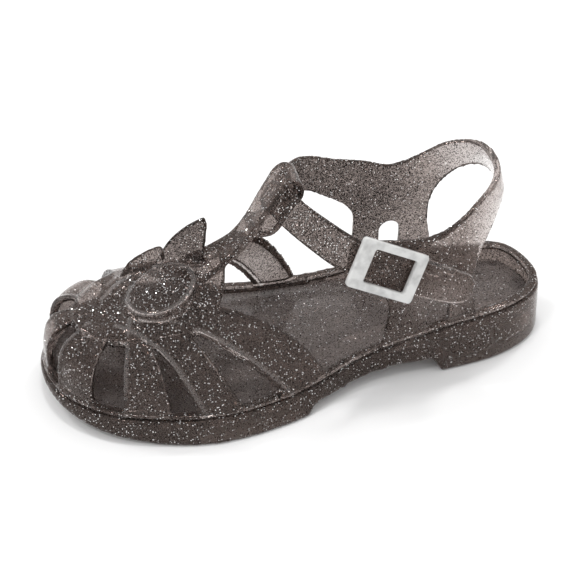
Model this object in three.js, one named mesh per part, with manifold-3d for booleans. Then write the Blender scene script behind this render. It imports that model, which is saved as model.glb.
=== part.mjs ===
// Child's jelly sandal for the left foot: a moulded cage of bands and straps on a hollow block sole, with a thin
// footbed sheet and a strap that buckles at the outer side.
// Millimetres. +X runs to the toe, +Y to the outer side of the foot, +Z up. The sole stands on z = 0.

import * as THREE from 'three';
import { mergeVertices } from 'three/addons/utils/BufferGeometryUtils.js';
import Module from 'manifold-3d';

const wasm = await Module();
wasm.setup();

// Driving dimensions of the whole shoe
const soleLength = 172;
const ballWidth = 71.8;
const heelSide = 20.2;
const collarHeight = 73;
const instepHeight = 0.849 * collarHeight;
const toeSpring = 6.2;
const clearance = 0.3;

// Sole
const soleWall = 3.2;
const soleFlare = 2.2;
const bottomRounding = 1;
const treadSkin = 2.2;
const ribWidth = 2.2;
const cellPitch = 16.8;
const archLift = 6.3;
const archFrontLift = 3.1;
const heelBlockSlant = 4.6;
const blockCorner = 1.6;
const footbedThickness = 1.6;

// Upper
const upperWall = 2.3;
const baseRing = 3.4;
const baseRingThickness = 1.5;
const ringInset = 0.5;
const plateRise = 0.9;
const plateLength = 50;
const plateWidth = 40;
const discRadius = 12.2;
const discRise = 2.6;
const leafThickness = 1.9;
const collarHalfOuter = 24;
const collarHalfInner = 22;
const archCutWidth = 7;
const instepStrapHalf = 6;
const ankleStrapHalf = 5.5;
const leafHalf = 8;
const strapThickness = 2.2;

// Buckle
const frameLength = 24.3;
const frameWidth = 16.9;
const frameThickness = 2.6;
const frontBar = 5.2;
const rearBar = 3.6;
const sideBar = 2.8;
const frameCorner = 1.1;
const postRadius = 1;
const pegRadius = 1.7;
const pegRise = 0.8;

// Outline of the sole: half widths on each side of the centre line as shares of the ball width, at shares of the
// sole length from the heel
const outlineRows = [
  { along: 0, outer: 0, inner: 0 },
  { along: 0.04, outer: 0.182, inner: 0.247 },
  { along: 0.12, outer: 0.277, inner: 0.28 },
  { along: 0.25, outer: 0.319, inner: 0.331 },
  { along: 0.4, outer: 0.34, inner: 0.361 },
  { along: 0.55, outer: 0.487, inner: 0.391 },
  { along: 0.7, outer: 0.55, inner: 0.45 },
  { along: 0.82, outer: 0.5, inner: 0.453 },
  { along: 0.92, outer: 0.391, inner: 0.361 },
  { along: 0.975, outer: 0.242, inner: 0.209 },
  { along: 1, outer: 0, inner: 0 },
];

// Heights along the sole as shares of the heel side: the top of the side wall and the top of the footbed; and how
// much of the flare the side wall has there
const heightRows = [
  { along: 0, top: 1, bed: 0.72, flare: 0.25 },
  { along: 0.21, top: 0.99, bed: 0.66, flare: 0.35 },
  { along: 0.413, top: 0.634, bed: 0.5, flare: 0.75 },
  { along: 0.733, top: 0.515, bed: 0.39, flare: 1 },
  { along: 1, top: 0.56, bed: 0.47, flare: 0.2 },
];

// Forefoot of the last: height of its crown as a share of the instep height, how far the crown lies to the outer
// side as a share of the ball width, and the two powers that shape the section between crown and side
const lastRows = [
  { along: 0.4, crown: 1.065, apex: -0.05, round: 1.2, full: 1 },
  { along: 0.471, crown: 1, apex: -0.045, round: 1.2, full: 1 },
  { along: 0.57, crown: 0.884, apex: -0.04, round: 1.25, full: 1 },
  { along: 0.657, crown: 0.74, apex: 0, round: 1.45, full: 1 },
  { along: 0.721, crown: 0.658, apex: 0.03, round: 1.75, full: 0.95 },
  { along: 0.785, crown: 0.594, apex: 0.045, round: 2.1, full: 0.62 },
  { along: 0.843, crown: 0.537, apex: 0.045, round: 2.5, full: 0.45 },
  { along: 0.895, crown: 0.503, apex: 0.045, round: 2.8, full: 0.37 },
  { along: 0.942, crown: 0.48, apex: 0.045, round: 3, full: 0.34 },
  { along: 1, crown: 0.45, apex: 0.045, round: 3, full: 0.333 },
];
const crownSoftness = 0.15;
const toeRoundFrom = 0.93;

// Bands of the cage: where their rear and front edges leave the sole, as shares of the sole length measured along
// the rim from the toe, the places on the centre line that the edges point to, as shares of the length from the
// heel, and how much of the way there the band reaches. The rearmost inner band rises to the instep strap
const bandRows = [
  { sides: [1], rimRear: 0.669, rimFront: 0.58, aimRear: 0.962, aimFront: 1, reach: 0.6 },
  { sides: [-1], rimRear: 0.655, rimFront: 0.58, aimRear: 0.665, aimFront: 0.775, reach: 0.95 },
  { sides: [1, -1], rimRear: 0.482, rimFront: 0.408, aimRear: 0.855, aimFront: 0.925, reach: 0.6 },
  { sides: [1, -1], rimRear: 0.34, rimFront: 0.248, aimRear: 0.85, aimFront: 0.815, reach: 0.6 },
  { sides: [1, -1], rimRear: 0.176, rimFront: 0.09, aimRear: 0.8, aimFront: 0.835, reach: 0.6 },
];
const toeBandHalf = 0.035;
const toeBandReach = 0.6;
const centreShift = 0.02;

// Side view of the rear cage as shares of the sole length from the heel and of the collar height: the upper edge
// from the back to the front, then the edges of the front leg, shared by both sides unless a side is named
const collarEdge = [
  { along: 0.05, up: 1.01 },
  { along: 0.105, up: 0.965 },
  { along: 0.14, up: 0.93 },
  { along: 0.175, up: 0.892 },
  { along: 0.209, up: 0.838 },
  { along: 0.244, up: 0.793 },
  { along: 0.28, up: 0.774 },
];
const outerRearEdge = [
  { along: 0.165, up: 0.13 },
  { along: 0.17, up: 0.33 },
  { along: 0.18, up: 0.49 },
  { along: 0.169, up: 0.622 },
  { along: 0.145, up: 0.727 },
  { along: 0.116, up: 0.815 },
  { along: 0.05, up: 0.885 },
];
const innerRearEdge = [
  { along: 0.18, up: 0.13 },
  { along: 0.19, up: 0.33 },
  { along: 0.199, up: 0.49 },
  { along: 0.191, up: 0.612 },
  { along: 0.16, up: 0.732 },
  { along: 0.116, up: 0.82 },
  { along: 0.05, up: 0.885 },
];
const outerFrontEdge = [
  { along: 0.335, up: 0.78 },
  { along: 0.375, up: 0.79 },
  { along: 0.401, up: 0.76 },
  { along: 0.398, up: 0.69 },
  { along: 0.37, up: 0.54 },
  { along: 0.348, up: 0.41 },
  { along: 0.354, up: 0.25 },
  { along: 0.358, up: 0.13 },
];
const innerTopEdge = [
  { along: 0.33, up: 0.81 },
  { along: 0.39, up: 0.845 },
  { along: 0.44, up: 0.89 },
  { along: 0.475, up: 0.91 },
];
const innerFrontEdge = [
  { along: 0.475, up: 0.765 },
  { along: 0.42, up: 0.672 },
  { along: 0.372, up: 0.59 },
  { along: 0.354, up: 0.53 },
  { along: 0.35, up: 0.44 },
  { along: 0.353, up: 0.3 },
  { along: 0.356, up: 0.13 },
];

// Arch-shaped windows low in the two sides: middle and top
const archWindowRows = [
  { side: 1, along: 0.248, up: 0.425 },
  { side: -1, along: 0.275, up: 0.455 },
];

// Places in the three tables below are shares of the sole length, of the outer collar's half width and of the collar
// height. Ankle strap from the inner side over the instep and through the buckle: centre, and half width vector as
// shares of the strap's half width
const ankleStrapRows = [
  { at: [-0.07, -0.783, 0.795], across: [-0.273, 0, 1.164] },
  { at: [-0.023, -0.692, 0.83], across: [-0.436, -0.091, 1.091] },
  { at: [0.013, -0.408, 0.871], across: [-0.545, -0.145, 0.891] },
  { at: [0.033, 0, 0.893], across: [-0.6, 0, 0.782] },
  { at: [0.026, 0.35, 0.885], across: [-0.636, 0.109, 0.764] },
  { at: [-0.017, 0.725, 0.825], across: [-0.582, 0.127, 0.927] },
  { at: [-0.067, 1.025, 0.762], across: [-0.527, -0.109, 0.964] },
  { at: [-0.13, 1.117, 0.69], across: [-0.527, -0.291, 0.945] },
  { at: [-0.215, 1.117, 0.585], across: [-0.364, -0.291, 1] },
  { at: [-0.273, 1.108, 0.523], across: [-0.309, -0.273, 0.964] },
  { at: [-0.298, 1.096, 0.5], across: [-0.236, -0.218, 0.8] },
  { at: [-0.31, 1.088, 0.489], across: [-0.127, -0.109, 0.382] },
];

// Instep strap from the plate up, over the ankle strap and back down behind it: centre and half width share
const instepStrapRows = [
  { at: [0.203, 0.142, 0.553], wide: 1.35 },
  { at: [0.157, 0.125, 0.633], wide: 1.12 },
  { at: [0.116, 0.1, 0.693], wide: 0.95 },
  { at: [0.085, 0.075, 0.781], wide: 0.95 },
  { at: [0.063, 0.05, 0.863], wide: 1 },
  { at: [0.043, 0.025, 0.932], wide: 1.04 },
  { at: [0.03, 0.008, 0.973], wide: 1.06 },
  { at: [0.015, 0, 0.99], wide: 1.06 },
  { at: [0, 0, 0.971], wide: 1.06 },
  { at: [-0.002, 0, 0.923], wide: 1.04 },
  { at: [0.015, 0, 0.86], wide: 1 },
  { at: [0.033, 0.017, 0.8], wide: 1 },
  { at: [0.053, 0.037, 0.753], wide: 1 },
  { at: [0.084, 0.058, 0.748], wide: 0.96 },
];

// Leaves that stand behind the disc: root, bulge and tip of the spine, and the half width vector at the root as
// shares of a leaf's half width
const leafRows = [
  { root: [0.221, -0.062, 0.541], bulge: [0.212, -0.125, 0.699], tip: [0.18, 0.146, 0.853], across: [0.812, -0.562, -0.25] },
  { root: [0.291, -0.271, 0.466], bulge: [0.282, -0.375, 0.541], tip: [0.252, -0.375, 0.611], across: [0.75, -0.438, -0.188] },
];

const jelly = new THREE.MeshStandardMaterial({ color: 0x5a504d, roughness: 0.2, metalness: 0 });
const jellySole = new THREE.MeshStandardMaterial({ color: 0x4c4441, roughness: 0.25, metalness: 0 });
const jellyBed = new THREE.MeshStandardMaterial({ color: 0x6d6562, roughness: 0.45, metalness: 0 });
const whitePlastic = new THREE.MeshStandardMaterial({ color: 0xe6e6e4, roughness: 0.3, metalness: 0 });

// Smooth curve through table rows: the value of one column at a place between the rows
function smooth(places, values, at) {
  const last = places.length - 1;
  const x = Math.min(Math.max(at, places[0]), places[last]);
  let row = 0;
  while (row < last - 1 && x >= places[row + 1]) row += 1;
  const step = (i) => places[i + 1] - places[i];
  const grade = (i) => (values[i + 1] - values[i]) / step(i);
  const slope = (i) => {
    if (i === 0) return grade(0);
    if (i === last) return grade(last - 1);
    return (grade(i - 1) * step(i) + grade(i) * step(i - 1)) / (step(i - 1) + step(i));
  };
  const width = step(row);
  const t = (x - places[row]) / width;
  const t2 = t * t;
  const t3 = t2 * t;
  return (2 * t3 - 3 * t2 + 1) * values[row] + (t3 - 2 * t2 + t) * width * slope(row)
    + (3 * t2 - 2 * t3) * values[row + 1] + (t3 - t2) * width * slope(row + 1);
}

const column = (rows, name) => rows.map((row) => row[name]);
const readRow = (rows, name, along) => smooth(column(rows, 'along'), column(rows, name), along);

// The outline is read by angle, which keeps heel and toe round
const angleAt = (along) => Math.acos(1 - 2 * Math.min(Math.max(along, 0), 1));
const outlineAngles = outlineRows.map((row) => angleAt(row.along));
const halfWidth = (side, along) => ballWidth
  * smooth(outlineAngles, column(outlineRows, side > 0 ? 'outer' : 'inner'), angleAt(along));

const placeX = (along) => (along - 0.5) * soleLength;
const shareOf = (x) => x / soleLength + 0.5;
const topHeight = (along) => heelSide * readRow(heightRows, 'top', along);
const bedHeight = (along) => heelSide * readRow(heightRows, 'bed', along);
const springFrom = 0.74;
const bottomHeight = (along) => toeSpring * (Math.max(0, along - springFrom) / (1 - springFrom)) ** 2;

// Closed ring round the outline, moved inward by an inset that may follow the length
const sideSteps = 30;
function outlineRing(inset) {
  const at = (side, step) => {
    const along = (1 - Math.cos(Math.PI * step / sideSteps)) / 2;
    return new THREE.Vector2(placeX(along), side * halfWidth(side, along));
  };
  const ring = [];
  for (let i = 0; i <= sideSteps; i += 1) ring.push(at(1, i));
  for (let i = sideSteps - 1; i > 0; i -= 1) ring.push(at(-1, i));
  const insetAt = typeof inset === 'function' ? inset : () => inset;
  return ring.map((point, i) => {
    const before = ring[(i + ring.length - 1) % ring.length];
    const after = ring[(i + 1) % ring.length];
    const run = after.clone().sub(before).normalize();
    const shift = insetAt(shareOf(point.x));
    return new THREE.Vector2(point.x + run.y * shift, point.y - run.x * shift);
  });
}

// Ring lifted to a height that follows the length
const liftedRing = (inset, height) => outlineRing(inset)
  .map((point) => new THREE.Vector3(point.x, point.y, height(shareOf(point.x))));

function makeGeometry(points, faces) {
  const geometry = new THREE.BufferGeometry();
  geometry.setAttribute('position', new THREE.Float32BufferAttribute(points.flatMap((p) => [p.x, p.y, p.z]), 3));
  geometry.setIndex(faces.flat());
  return geometry;
}

// Closed solid with merged corners, without the faces that have shrunk to a line
function toSolid(geometry) {
  const bare = geometry.clone();
  bare.deleteAttribute('normal');
  bare.deleteAttribute('uv');
  const merged = mergeVertices(bare, 1e-4);
  const index = merged.index.array;
  const kept = [];
  for (let i = 0; i < index.length; i += 3) {
    const [a, b, c] = [index[i], index[i + 1], index[i + 2]];
    if (a !== b && b !== c && c !== a) kept.push(a, b, c);
  }
  return new wasm.Manifold(new wasm.Mesh({
    numProp: 3,
    vertProperties: new Float32Array(merged.attributes.position.array),
    triVerts: new Uint32Array(kept),
  }));
}

// Solid through a stack of outline rings, closed by strips between the two sides of the first and last ring
function ringStack(rings) {
  const count = rings[0].length;
  const faces = [];
  for (let r = 0; r + 1 < rings.length; r += 1) {
    for (let i = 0; i < count; i += 1) {
      const a = r * count + i;
      const b = r * count + (i + 1) % count;
      faces.push([a, a + count, b], [b, a + count, b + count]);
    }
  }
  const top = (rings.length - 1) * count;
  for (let i = 0; i < count / 2; i += 1) {
    const far = (count - i) % count;
    const farNext = count - i - 1;
    faces.push([i, i + 1, far], [i + 1, farNext, far]);
    faces.push([top + i, top + far, top + i + 1], [top + i + 1, top + far, top + farNext]);
  }
  return toSolid(makeGeometry(rings.flat(), faces));
}

// Solid wall between an outer and an inner grid of points, with its four edges closed
function wallSolid(outer, inner) {
  const rows = outer.length;
  const columns = outer[0].length;
  const points = [...outer.flat(), ...inner.flat()];
  const offset = rows * columns;
  const at = (r, c) => r * columns + c;
  const faces = [];
  const quad = (a, b, c, d) => faces.push([a, b, c], [a, c, d]);
  for (let r = 0; r + 1 < rows; r += 1) {
    for (let c = 0; c + 1 < columns; c += 1) {
      quad(at(r, c), at(r + 1, c), at(r + 1, c + 1), at(r, c + 1));
      quad(offset + at(r, c), offset + at(r, c + 1), offset + at(r + 1, c + 1), offset + at(r + 1, c));
    }
  }
  for (let r = 0; r + 1 < rows; r += 1) {
    quad(at(r, 0), offset + at(r, 0), offset + at(r + 1, 0), at(r + 1, 0));
    quad(at(r, columns - 1), at(r + 1, columns - 1), offset + at(r + 1, columns - 1), offset + at(r, columns - 1));
  }
  for (let c = 0; c + 1 < columns; c += 1) {
    quad(at(0, c), at(0, c + 1), offset + at(0, c + 1), offset + at(0, c));
    quad(at(rows - 1, c), offset + at(rows - 1, c), offset + at(rows - 1, c + 1), at(rows - 1, c + 1));
  }
  return toSolid(makeGeometry(points, faces));
}

// Grid of points moved along the surface's own direction
function movedGrid(surface, us, vs, distance) {
  const tiny = 1e-3;
  return us.map((u) => vs.map((v) => {
    const here = surface(u, v);
    const alongU = surface(u + tiny, v).sub(surface(u - tiny, v));
    const alongV = surface(u, v + tiny).sub(surface(u, v - tiny));
    return here.addScaledVector(alongU.cross(alongV).normalize(), distance);
  }));
}

const steps = (from, to, count) => Array.from({ length: count + 1 }, (_, i) => from + (to - from) * i / count);

// Upright prism over a closed plan outline
function planPrism(points, low, high) {
  const shape = new THREE.Shape(points);
  const geometry = new THREE.ExtrudeGeometry(shape, { depth: high - low, bevelEnabled: false });
  return toSolid(geometry.translate(0, 0, low));
}

// Prism across the shoe over a closed outline in side view
function sidePrism(points, from, to) {
  const shape = new THREE.Shape(points);
  const geometry = new THREE.ExtrudeGeometry(shape, { depth: to - from, bevelEnabled: false });
  geometry.rotateX(Math.PI / 2);
  return toSolid(geometry.translate(0, to, 0));
}

const joined = (solids) => solids.reduce((all, solid) => all.add(solid));

// Sole
const parting = (along) => topHeight(along) - baseRingThickness - clearance;
const bedUnderside = (along) => bedHeight(along) - footbedThickness - clearance;
const cutHigh = 200;

// Side wall: rounded at the tread, widest above the rounding, and drawn in by the flare up to the parting line
function soleBody() {
  const flare = (along) => soleFlare * readRow(heightRows, 'flare', along);
  const ring = (round, lift) => liftedRing(
    (along) => bottomRounding * round - flare(along),
    (along) => bottomHeight(along) + bottomRounding * lift,
  );
  return ringStack([
    ring(1, 0),
    ring(0.3, 0.3),
    ring(0, 1),
    liftedRing(0, parting),
  ]);
}

function soleWell() {
  return ringStack([
    liftedRing(soleWall, bedUnderside),
    liftedRing(soleWall, (along) => parting(along) + 1),
  ]);
}

// Hollow core of a block: the well's floor is open over a grid of cells with ribs between them
function cellGrid(from, to) {
  const core = ringStack([
    liftedRing(soleWall + 1, (along) => bottomHeight(along) + treadSkin),
    liftedRing(soleWall + 1, (along) => bedUnderside(along) + 1),
  ]);
  const length = to - from;
  const alongCount = Math.max(1, Math.round(length / cellPitch));
  const acrossCount = Math.max(1, Math.round(ballWidth / cellPitch));
  const alongPitch = length / alongCount;
  const acrossPitch = ballWidth / acrossCount;
  const boxes = [];
  for (let i = 0; i < alongCount; i += 1) {
    for (let j = 0; j < acrossCount; j += 1) {
      const x = from + alongPitch * (i + 0.5);
      const y = acrossPitch * (j + 0.5 - acrossCount / 2) + centreShift * soleLength;
      const box = new THREE.BoxGeometry(alongPitch - ribWidth, acrossPitch - ribWidth, cutHigh);
      boxes.push(toSolid(box.translate(x, y, 0)));
    }
  }
  return joined(boxes).intersect(core);
}

// Block edges: the heel block's front and the forefoot block's rear, as shares of the sole length
const heelBlockFront = 0.257;
const forefootBlockRear = 0.515;
const blockRear = 0.03;
const cellFront = 0.93;

function archCut() {
  const front = placeX(forefootBlockRear);
  const rear = placeX(heelBlockFront);
  return sidePrism([
    new THREE.Vector2(rear - heelBlockSlant, -1),
    new THREE.Vector2(rear - heelBlockSlant + 0.5, 0),
    new THREE.Vector2(rear, archLift),
    new THREE.Vector2((rear * 2 + front) / 3, archLift * 0.9),
    new THREE.Vector2((rear + front * 2) / 3, archLift * 0.35 + archFrontLift * 0.6),
    new THREE.Vector2(front - blockCorner, archFrontLift),
    new THREE.Vector2(front - blockCorner * 0.3, archFrontLift * 0.75),
    new THREE.Vector2(front, archFrontLift * 0.3),
    new THREE.Vector2(front + 0.3, -1),
  ], -ballWidth, ballWidth);
}

function sole() {
  const heelCells = cellGrid(placeX(blockRear), placeX(heelBlockFront) - heelBlockSlant - ribWidth);
  const forefootCells = cellGrid(placeX(forefootBlockRear) + ribWidth, placeX(cellFront));
  return soleBody()
    .subtract(archCut())
    .subtract(soleWell())
    .subtract(heelCells)
    .subtract(forefootCells);
}

// Footbed sheet that lies in the well on the ribs
function footbed() {
  const inset = soleWall + clearance;
  return ringStack([
    liftedRing(inset, (along) => bedHeight(along) - footbedThickness),
    liftedRing(inset, (along) => bedHeight(along) - footbedThickness * 0.35),
    liftedRing(inset + 0.8, bedHeight),
  ]);
}

// Forefoot of the last as a surface: share of the length, and angle from the inner rim over the crown to the outer
const domeInset = ringInset + 0.5;
const domeSink = 0.7;
const domeColumns = 20;
const domeRows = 20;
const toeTip = 0.9995;
const nearlyOne = 1 - 1e-4;
const cageFrom = 0.42;
function domePoint(along, angle) {
  const outer = halfWidth(1, along) - domeInset;
  const inner = halfWidth(-1, along) - domeInset;
  const base = topHeight(along) - domeSink;
  const crown = instepHeight * readRow(lastRows, 'crown', along);
  const toe = Math.max(0, Math.min(1, (along - toeRoundFrom) / (1 - toeRoundFrom)));
  const rise = (crown - base) * Math.cbrt(1 - toe ** 3);
  const t = Math.sin(angle);
  const apex = ballWidth * readRow(lastRows, 'apex', along) / Math.max((outer + inner) / 2, 1);
  const fromApex = (t - apex) / (t > apex ? 1 - apex : 1 + apex);
  const soft = (Math.hypot(fromApex, crownSoftness) - crownSoftness) / (Math.hypot(1, crownSoftness) - crownSoftness);
  const round = readRow(lastRows, 'round', along);
  const full = readRow(lastRows, 'full', along);
  const height = Math.max(0, 1 - soft ** round) ** full;
  const x = placeX(along) * (1 - 2 * domeInset / soleLength);
  return new THREE.Vector3(x, (outer - inner) / 2 + (outer + inner) / 2 * t, base + rise * height);
}

function domeWall(rise, wall) {
  const alongs = steps(0, Math.PI / 2, domeRows).map((a) => cageFrom + (toeTip - cageFrom) * Math.sin(a));
  const angles = steps(-Math.PI / 2, Math.PI / 2, domeColumns).map((a) => a * nearlyOne);
  const tip = domePoint(toeTip, 0);
  const tipRow = (back) => angles.map(() => new THREE.Vector3(tip.x + 0.1 - back, tip.y, topHeight(1) - domeSink));
  const outer = movedGrid(domePoint, alongs, angles, rise);
  const inner = movedGrid(domePoint, alongs, angles, rise - wall);
  return wallSolid([...outer, tipRow(-rise)], [...inner, tipRow(wall - rise)]);
}

// Points along the rim on one side, measured from the toe, and a point by its share of the sole length
function rimPoint(side, share) {
  const ring = outlineRing(0);
  const toe = sideSteps;
  let left = share * soleLength;
  let here = ring[toe];
  for (let i = 1; i < sideSteps; i += 1) {
    const next = ring[toe - side * i];
    const gap = here.distanceTo(next);
    if (gap >= left) return here.clone().lerp(next, left / gap);
    left -= gap;
    here = next;
  }
  return here;
}

const centreLine = centreShift * soleLength;
const overhang = 8;

// Plan outline of one band: past the rim at one end and inside the plate at the other
function bandOutline(rear, front, reach) {
  const past = (edge) => edge.rim.clone().add(edge.rim.clone().sub(edge.aim).normalize().multiplyScalar(overhang));
  const inside = (edge) => edge.rim.clone().lerp(edge.aim, reach);
  return [past(rear), past(front), inside(front), inside(rear)];
}

function cageBands() {
  const aimAt = (share) => new THREE.Vector2(placeX(share), centreLine);
  const prism = (rear, front, reach) => planPrism(bandOutline(rear, front, reach), 0, cutHigh);
  const bands = [];
  for (const row of bandRows) {
    for (const side of row.sides) {
      bands.push(prism(
        { rim: rimPoint(side, row.rimRear), aim: aimAt(row.aimRear) },
        { rim: rimPoint(side, row.rimFront), aim: aimAt(row.aimFront) },
        row.reach,
      ));
    }
  }
  const toeAim = aimAt(bandRows[bandRows.length - 1].aimFront);
  const toeEdge = (side) => ({ rim: rimPoint(side, toeBandHalf), aim: toeAim });
  bands.push(prism(toeEdge(1), toeEdge(-1), toeBandReach));
  return joined(bands);
}

// Egg-shaped plate in the middle of the cage, narrower to the toe
const plateCentre = 0.79;
const plateNarrowing = 0.12;
const plateSquareness = 2.3;
function plateOutline() {
  return steps(0, 2 * Math.PI, 40).slice(0, -1).map((a) => {
    const power = 2 / plateSquareness;
    const u = Math.sign(Math.cos(a)) * Math.abs(Math.cos(a)) ** power;
    const v = Math.sign(Math.sin(a)) * Math.abs(Math.sin(a)) ** power;
    const half = plateWidth / 2 * (1 - plateNarrowing * u);
    return new THREE.Vector2(placeX(plateCentre) + plateLength / 2 * u, centreLine + half * v);
  });
}

function cage() {
  const plate = planPrism(plateOutline(), 0, cutHigh);
  const bands = domeWall(0, upperWall).intersect(cageBands());
  return bands.add(domeWall(plateRise, upperWall + plateRise).intersect(plate));
}

// Point and direction on the forefoot's surface above a place in plan
function domeAbove(along, y) {
  let low = -Math.PI / 2;
  let high = Math.PI / 2;
  for (let i = 0; i < 40; i += 1) {
    const middle = (low + high) / 2;
    if (domePoint(along, middle).y < y) low = middle;
    else high = middle;
  }
  const tiny = 1e-3;
  const point = domePoint(along, low);
  const alongU = domePoint(along + tiny, low).sub(domePoint(along - tiny, low));
  const alongV = domePoint(along, low + tiny).sub(domePoint(along, low - tiny));
  return { point, normal: alongU.cross(alongV).normalize() };
}

// Round boss on the plate with a soft shoulder
const discPlace = { along: 0.769, aside: 7.2 };
function disc() {
  const profile = [
    new THREE.Vector2(0, -upperWall * 0.6),
    new THREE.Vector2(discRadius, -upperWall * 0.6),
    new THREE.Vector2(discRadius, discRise * 0.25),
    new THREE.Vector2(discRadius * 0.95, discRise * 0.6),
    new THREE.Vector2(discRadius * 0.82, discRise * 0.85),
    new THREE.Vector2(discRadius * 0.45, discRise),
    new THREE.Vector2(0, discRise),
  ];
  const geometry = new THREE.LatheGeometry(profile, 28);
  const { point, normal } = domeAbove(discPlace.along, discPlace.aside);
  const turn = new THREE.Quaternion().setFromUnitVectors(new THREE.Vector3(0, 1, 0), normal);
  geometry.applyQuaternion(turn);
  return toSolid(geometry.translate(point.x, point.y, point.z));
}

const toVector = (list) => new THREE.Vector3(...list);
const toPlace = ([x, y, z]) => new THREE.Vector3(x * soleLength, y * collarHalfOuter, z * collarHeight);

// Pointed blade along a bent spine, hollowed towards its face
function leaf(row) {
  const [root, bulge, tip] = [row.root, row.bulge, row.tip].map(toPlace);
  const across = toVector(row.across).multiplyScalar(leafHalf);
  const spine = new THREE.QuadraticBezierCurve3(root, bulge, tip);
  const face = tip.clone().sub(root).cross(across).normalize();
  const wide = (t) => (1 - t ** 2.2) ** 0.8 + 0.03;
  const blade = (lift) => steps(0, 1, 9).map((t) => steps(-1, 1, 6).map((v) => {
    const cup = face.clone().multiplyScalar(lift + v * v * leafThickness * 0.8 * wide(t));
    return spine.getPoint(t).addScaledVector(across, v * wide(t)).add(cup);
  }));
  return wallSolid(blade(leafThickness / 2), blade(-leafThickness / 2));
}

// Flat strap with softened edges through stations of centre and half width vector
const strapCorner = 0.5;
function ribbon(centres, halves, thickness) {
  const count = centres.length;
  const points = [];
  centres.forEach((centre, i) => {
    const run = centres[Math.min(i + 1, count - 1)].clone().sub(centres[Math.max(i - 1, 0)]);
    const half = halves[i];
    const wide = half.length();
    const side = half.clone().normalize();
    const face = run.cross(side).normalize();
    const flat = Math.max(wide - strapCorner, wide * 0.5);
    const deep = thickness / 2;
    const shallow = deep - strapCorner;
    const section = [[flat, -deep], [wide, -shallow], [wide, shallow], [flat, deep],
      [-flat, deep], [-wide, shallow], [-wide, -shallow], [-flat, -deep]];
    section.forEach(([a, b]) => points.push(centre.clone().addScaledVector(side, a).addScaledVector(face, b)));
  });
  const faces = [];
  const size = 8;
  for (let i = 0; i + 1 < count; i += 1) {
    for (let k = 0; k < size; k += 1) {
      const a = i * size + k;
      const b = i * size + (k + 1) % size;
      faces.push([a, b, b + size], [a, b + size, a + size]);
    }
  }
  const end = (count - 1) * size;
  for (let k = 1; k + 1 < size; k += 1) {
    faces.push([0, k + 1, k], [end, end + k, end + k + 1]);
  }
  return toSolid(makeGeometry(points, faces));
}

// Evenly spaced stations on a smooth curve through the rows
function stations(vectors, count) {
  const curve = new THREE.CatmullRomCurve3(vectors, false, 'centripetal');
  return steps(0, 1, count).map((t) => curve.getPoint(t));
}

function ankleStrap() {
  const count = 30;
  const centres = stations(ankleStrapRows.map((row) => toPlace(row.at)), count);
  const halves = stations(ankleStrapRows.map((row) => toVector(row.across).multiplyScalar(ankleStrapHalf)), count);
  return ribbon(centres, halves, strapThickness);
}

// The strap is joined from a rising run and a returning run, which meet at the fold
function instepStrap() {
  const count = 36;
  const fold = 25;
  const centres = stations(instepStrapRows.map((row) => toPlace(row.at)), count);
  const halves = stations(instepStrapRows.map((row) => new THREE.Vector3(0, row.wide * instepStrapHalf, 0)), count);
  const rising = ribbon(centres.slice(0, fold + 1), halves.slice(0, fold + 1), upperWall);
  const returning = ribbon(centres.slice(fold - 1), halves.slice(fold - 1), upperWall);
  return rising.add(returning);
}

// Rear of the last as a surface: angle round the ankle and height
const ankleFront = 0.0465 * soleLength;
const ankleRear = -0.42 * soleLength;
const ankleRearHeight = 0.685 * collarHeight;
const ankleLean = 0.25;
const ankleSquareness = 2.4;
const ankleFrom = 0.2;
const blendFrom = 14;
const blendHeight = 30;
function anklePoint(angle, up) {
  const rear = ankleRear + (up - ankleRearHeight) * ankleLean;
  const middle = (rear + ankleFront) / 2;
  const power = 2 / ankleSquareness;
  const [c, s] = [Math.cos(angle), Math.sin(angle)];
  const x = middle + (ankleFront - rear) / 2 * Math.sign(c) * Math.abs(c) ** power;
  const side = s >= 0 ? 1 : -1;
  const collar = side * (side > 0 ? collarHalfOuter : collarHalfInner) * Math.abs(s) ** power;
  const rim = side * (halfWidth(side, shareOf(x)) - domeInset);
  const blend = THREE.MathUtils.smoothstep(up, blendFrom, blendFrom + blendHeight);
  return new THREE.Vector3(x, (1 - blend) * rim + blend * collar, up);
}

// Smooth line through the rows of one edge
function sideEdge(rows) {
  const points = rows.map((row) => new THREE.Vector2(placeX(row.along), row.up * collarHeight));
  return new THREE.SplineCurve(points).getSpacedPoints(rows.length * 2);
}

// Arch-shaped window low in one side
function archWindow(row) {
  const centre = placeX(row.along);
  const half = archCutWidth / 2;
  const round = steps(0, Math.PI, 10).map((a) => new THREE.Vector2(
    centre + half * Math.cos(a),
    row.up * collarHeight - half + half * Math.sin(a),
  ));
  const foot = topHeight(row.along);
  const outline = [...round, new THREE.Vector2(centre - half, foot), new THREE.Vector2(centre + half, foot)];
  return sidePrism(outline, row.side > 0 ? 0 : -ballWidth, row.side > 0 ? ballWidth : 0);
}

function rearCage() {
  const angles = steps(ankleFrom, 2 - ankleFrom, 30).map((a) => a * Math.PI);
  const heights = steps(blendFrom - 3, collarHeight + 3, 9);
  const wall = wallSolid(
    movedGrid(anklePoint, angles, heights, 0),
    movedGrid(anklePoint, angles, heights, -upperWall),
  );
  const outerSide = [...sideEdge(outerRearEdge), ...sideEdge([...collarEdge, ...outerFrontEdge])];
  const innerSide = [
    ...sideEdge(innerRearEdge),
    ...sideEdge([...collarEdge, ...innerTopEdge]),
    ...sideEdge(innerFrontEdge),
  ];
  const kept = sidePrism(outerSide, -0.5, ballWidth).add(sidePrism(innerSide, -ballWidth, 0.5));
  return wall.intersect(kept).subtract(joined(archWindowRows.map(archWindow)));
}

const ringUnderside = (along) => topHeight(along) - baseRingThickness;

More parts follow.
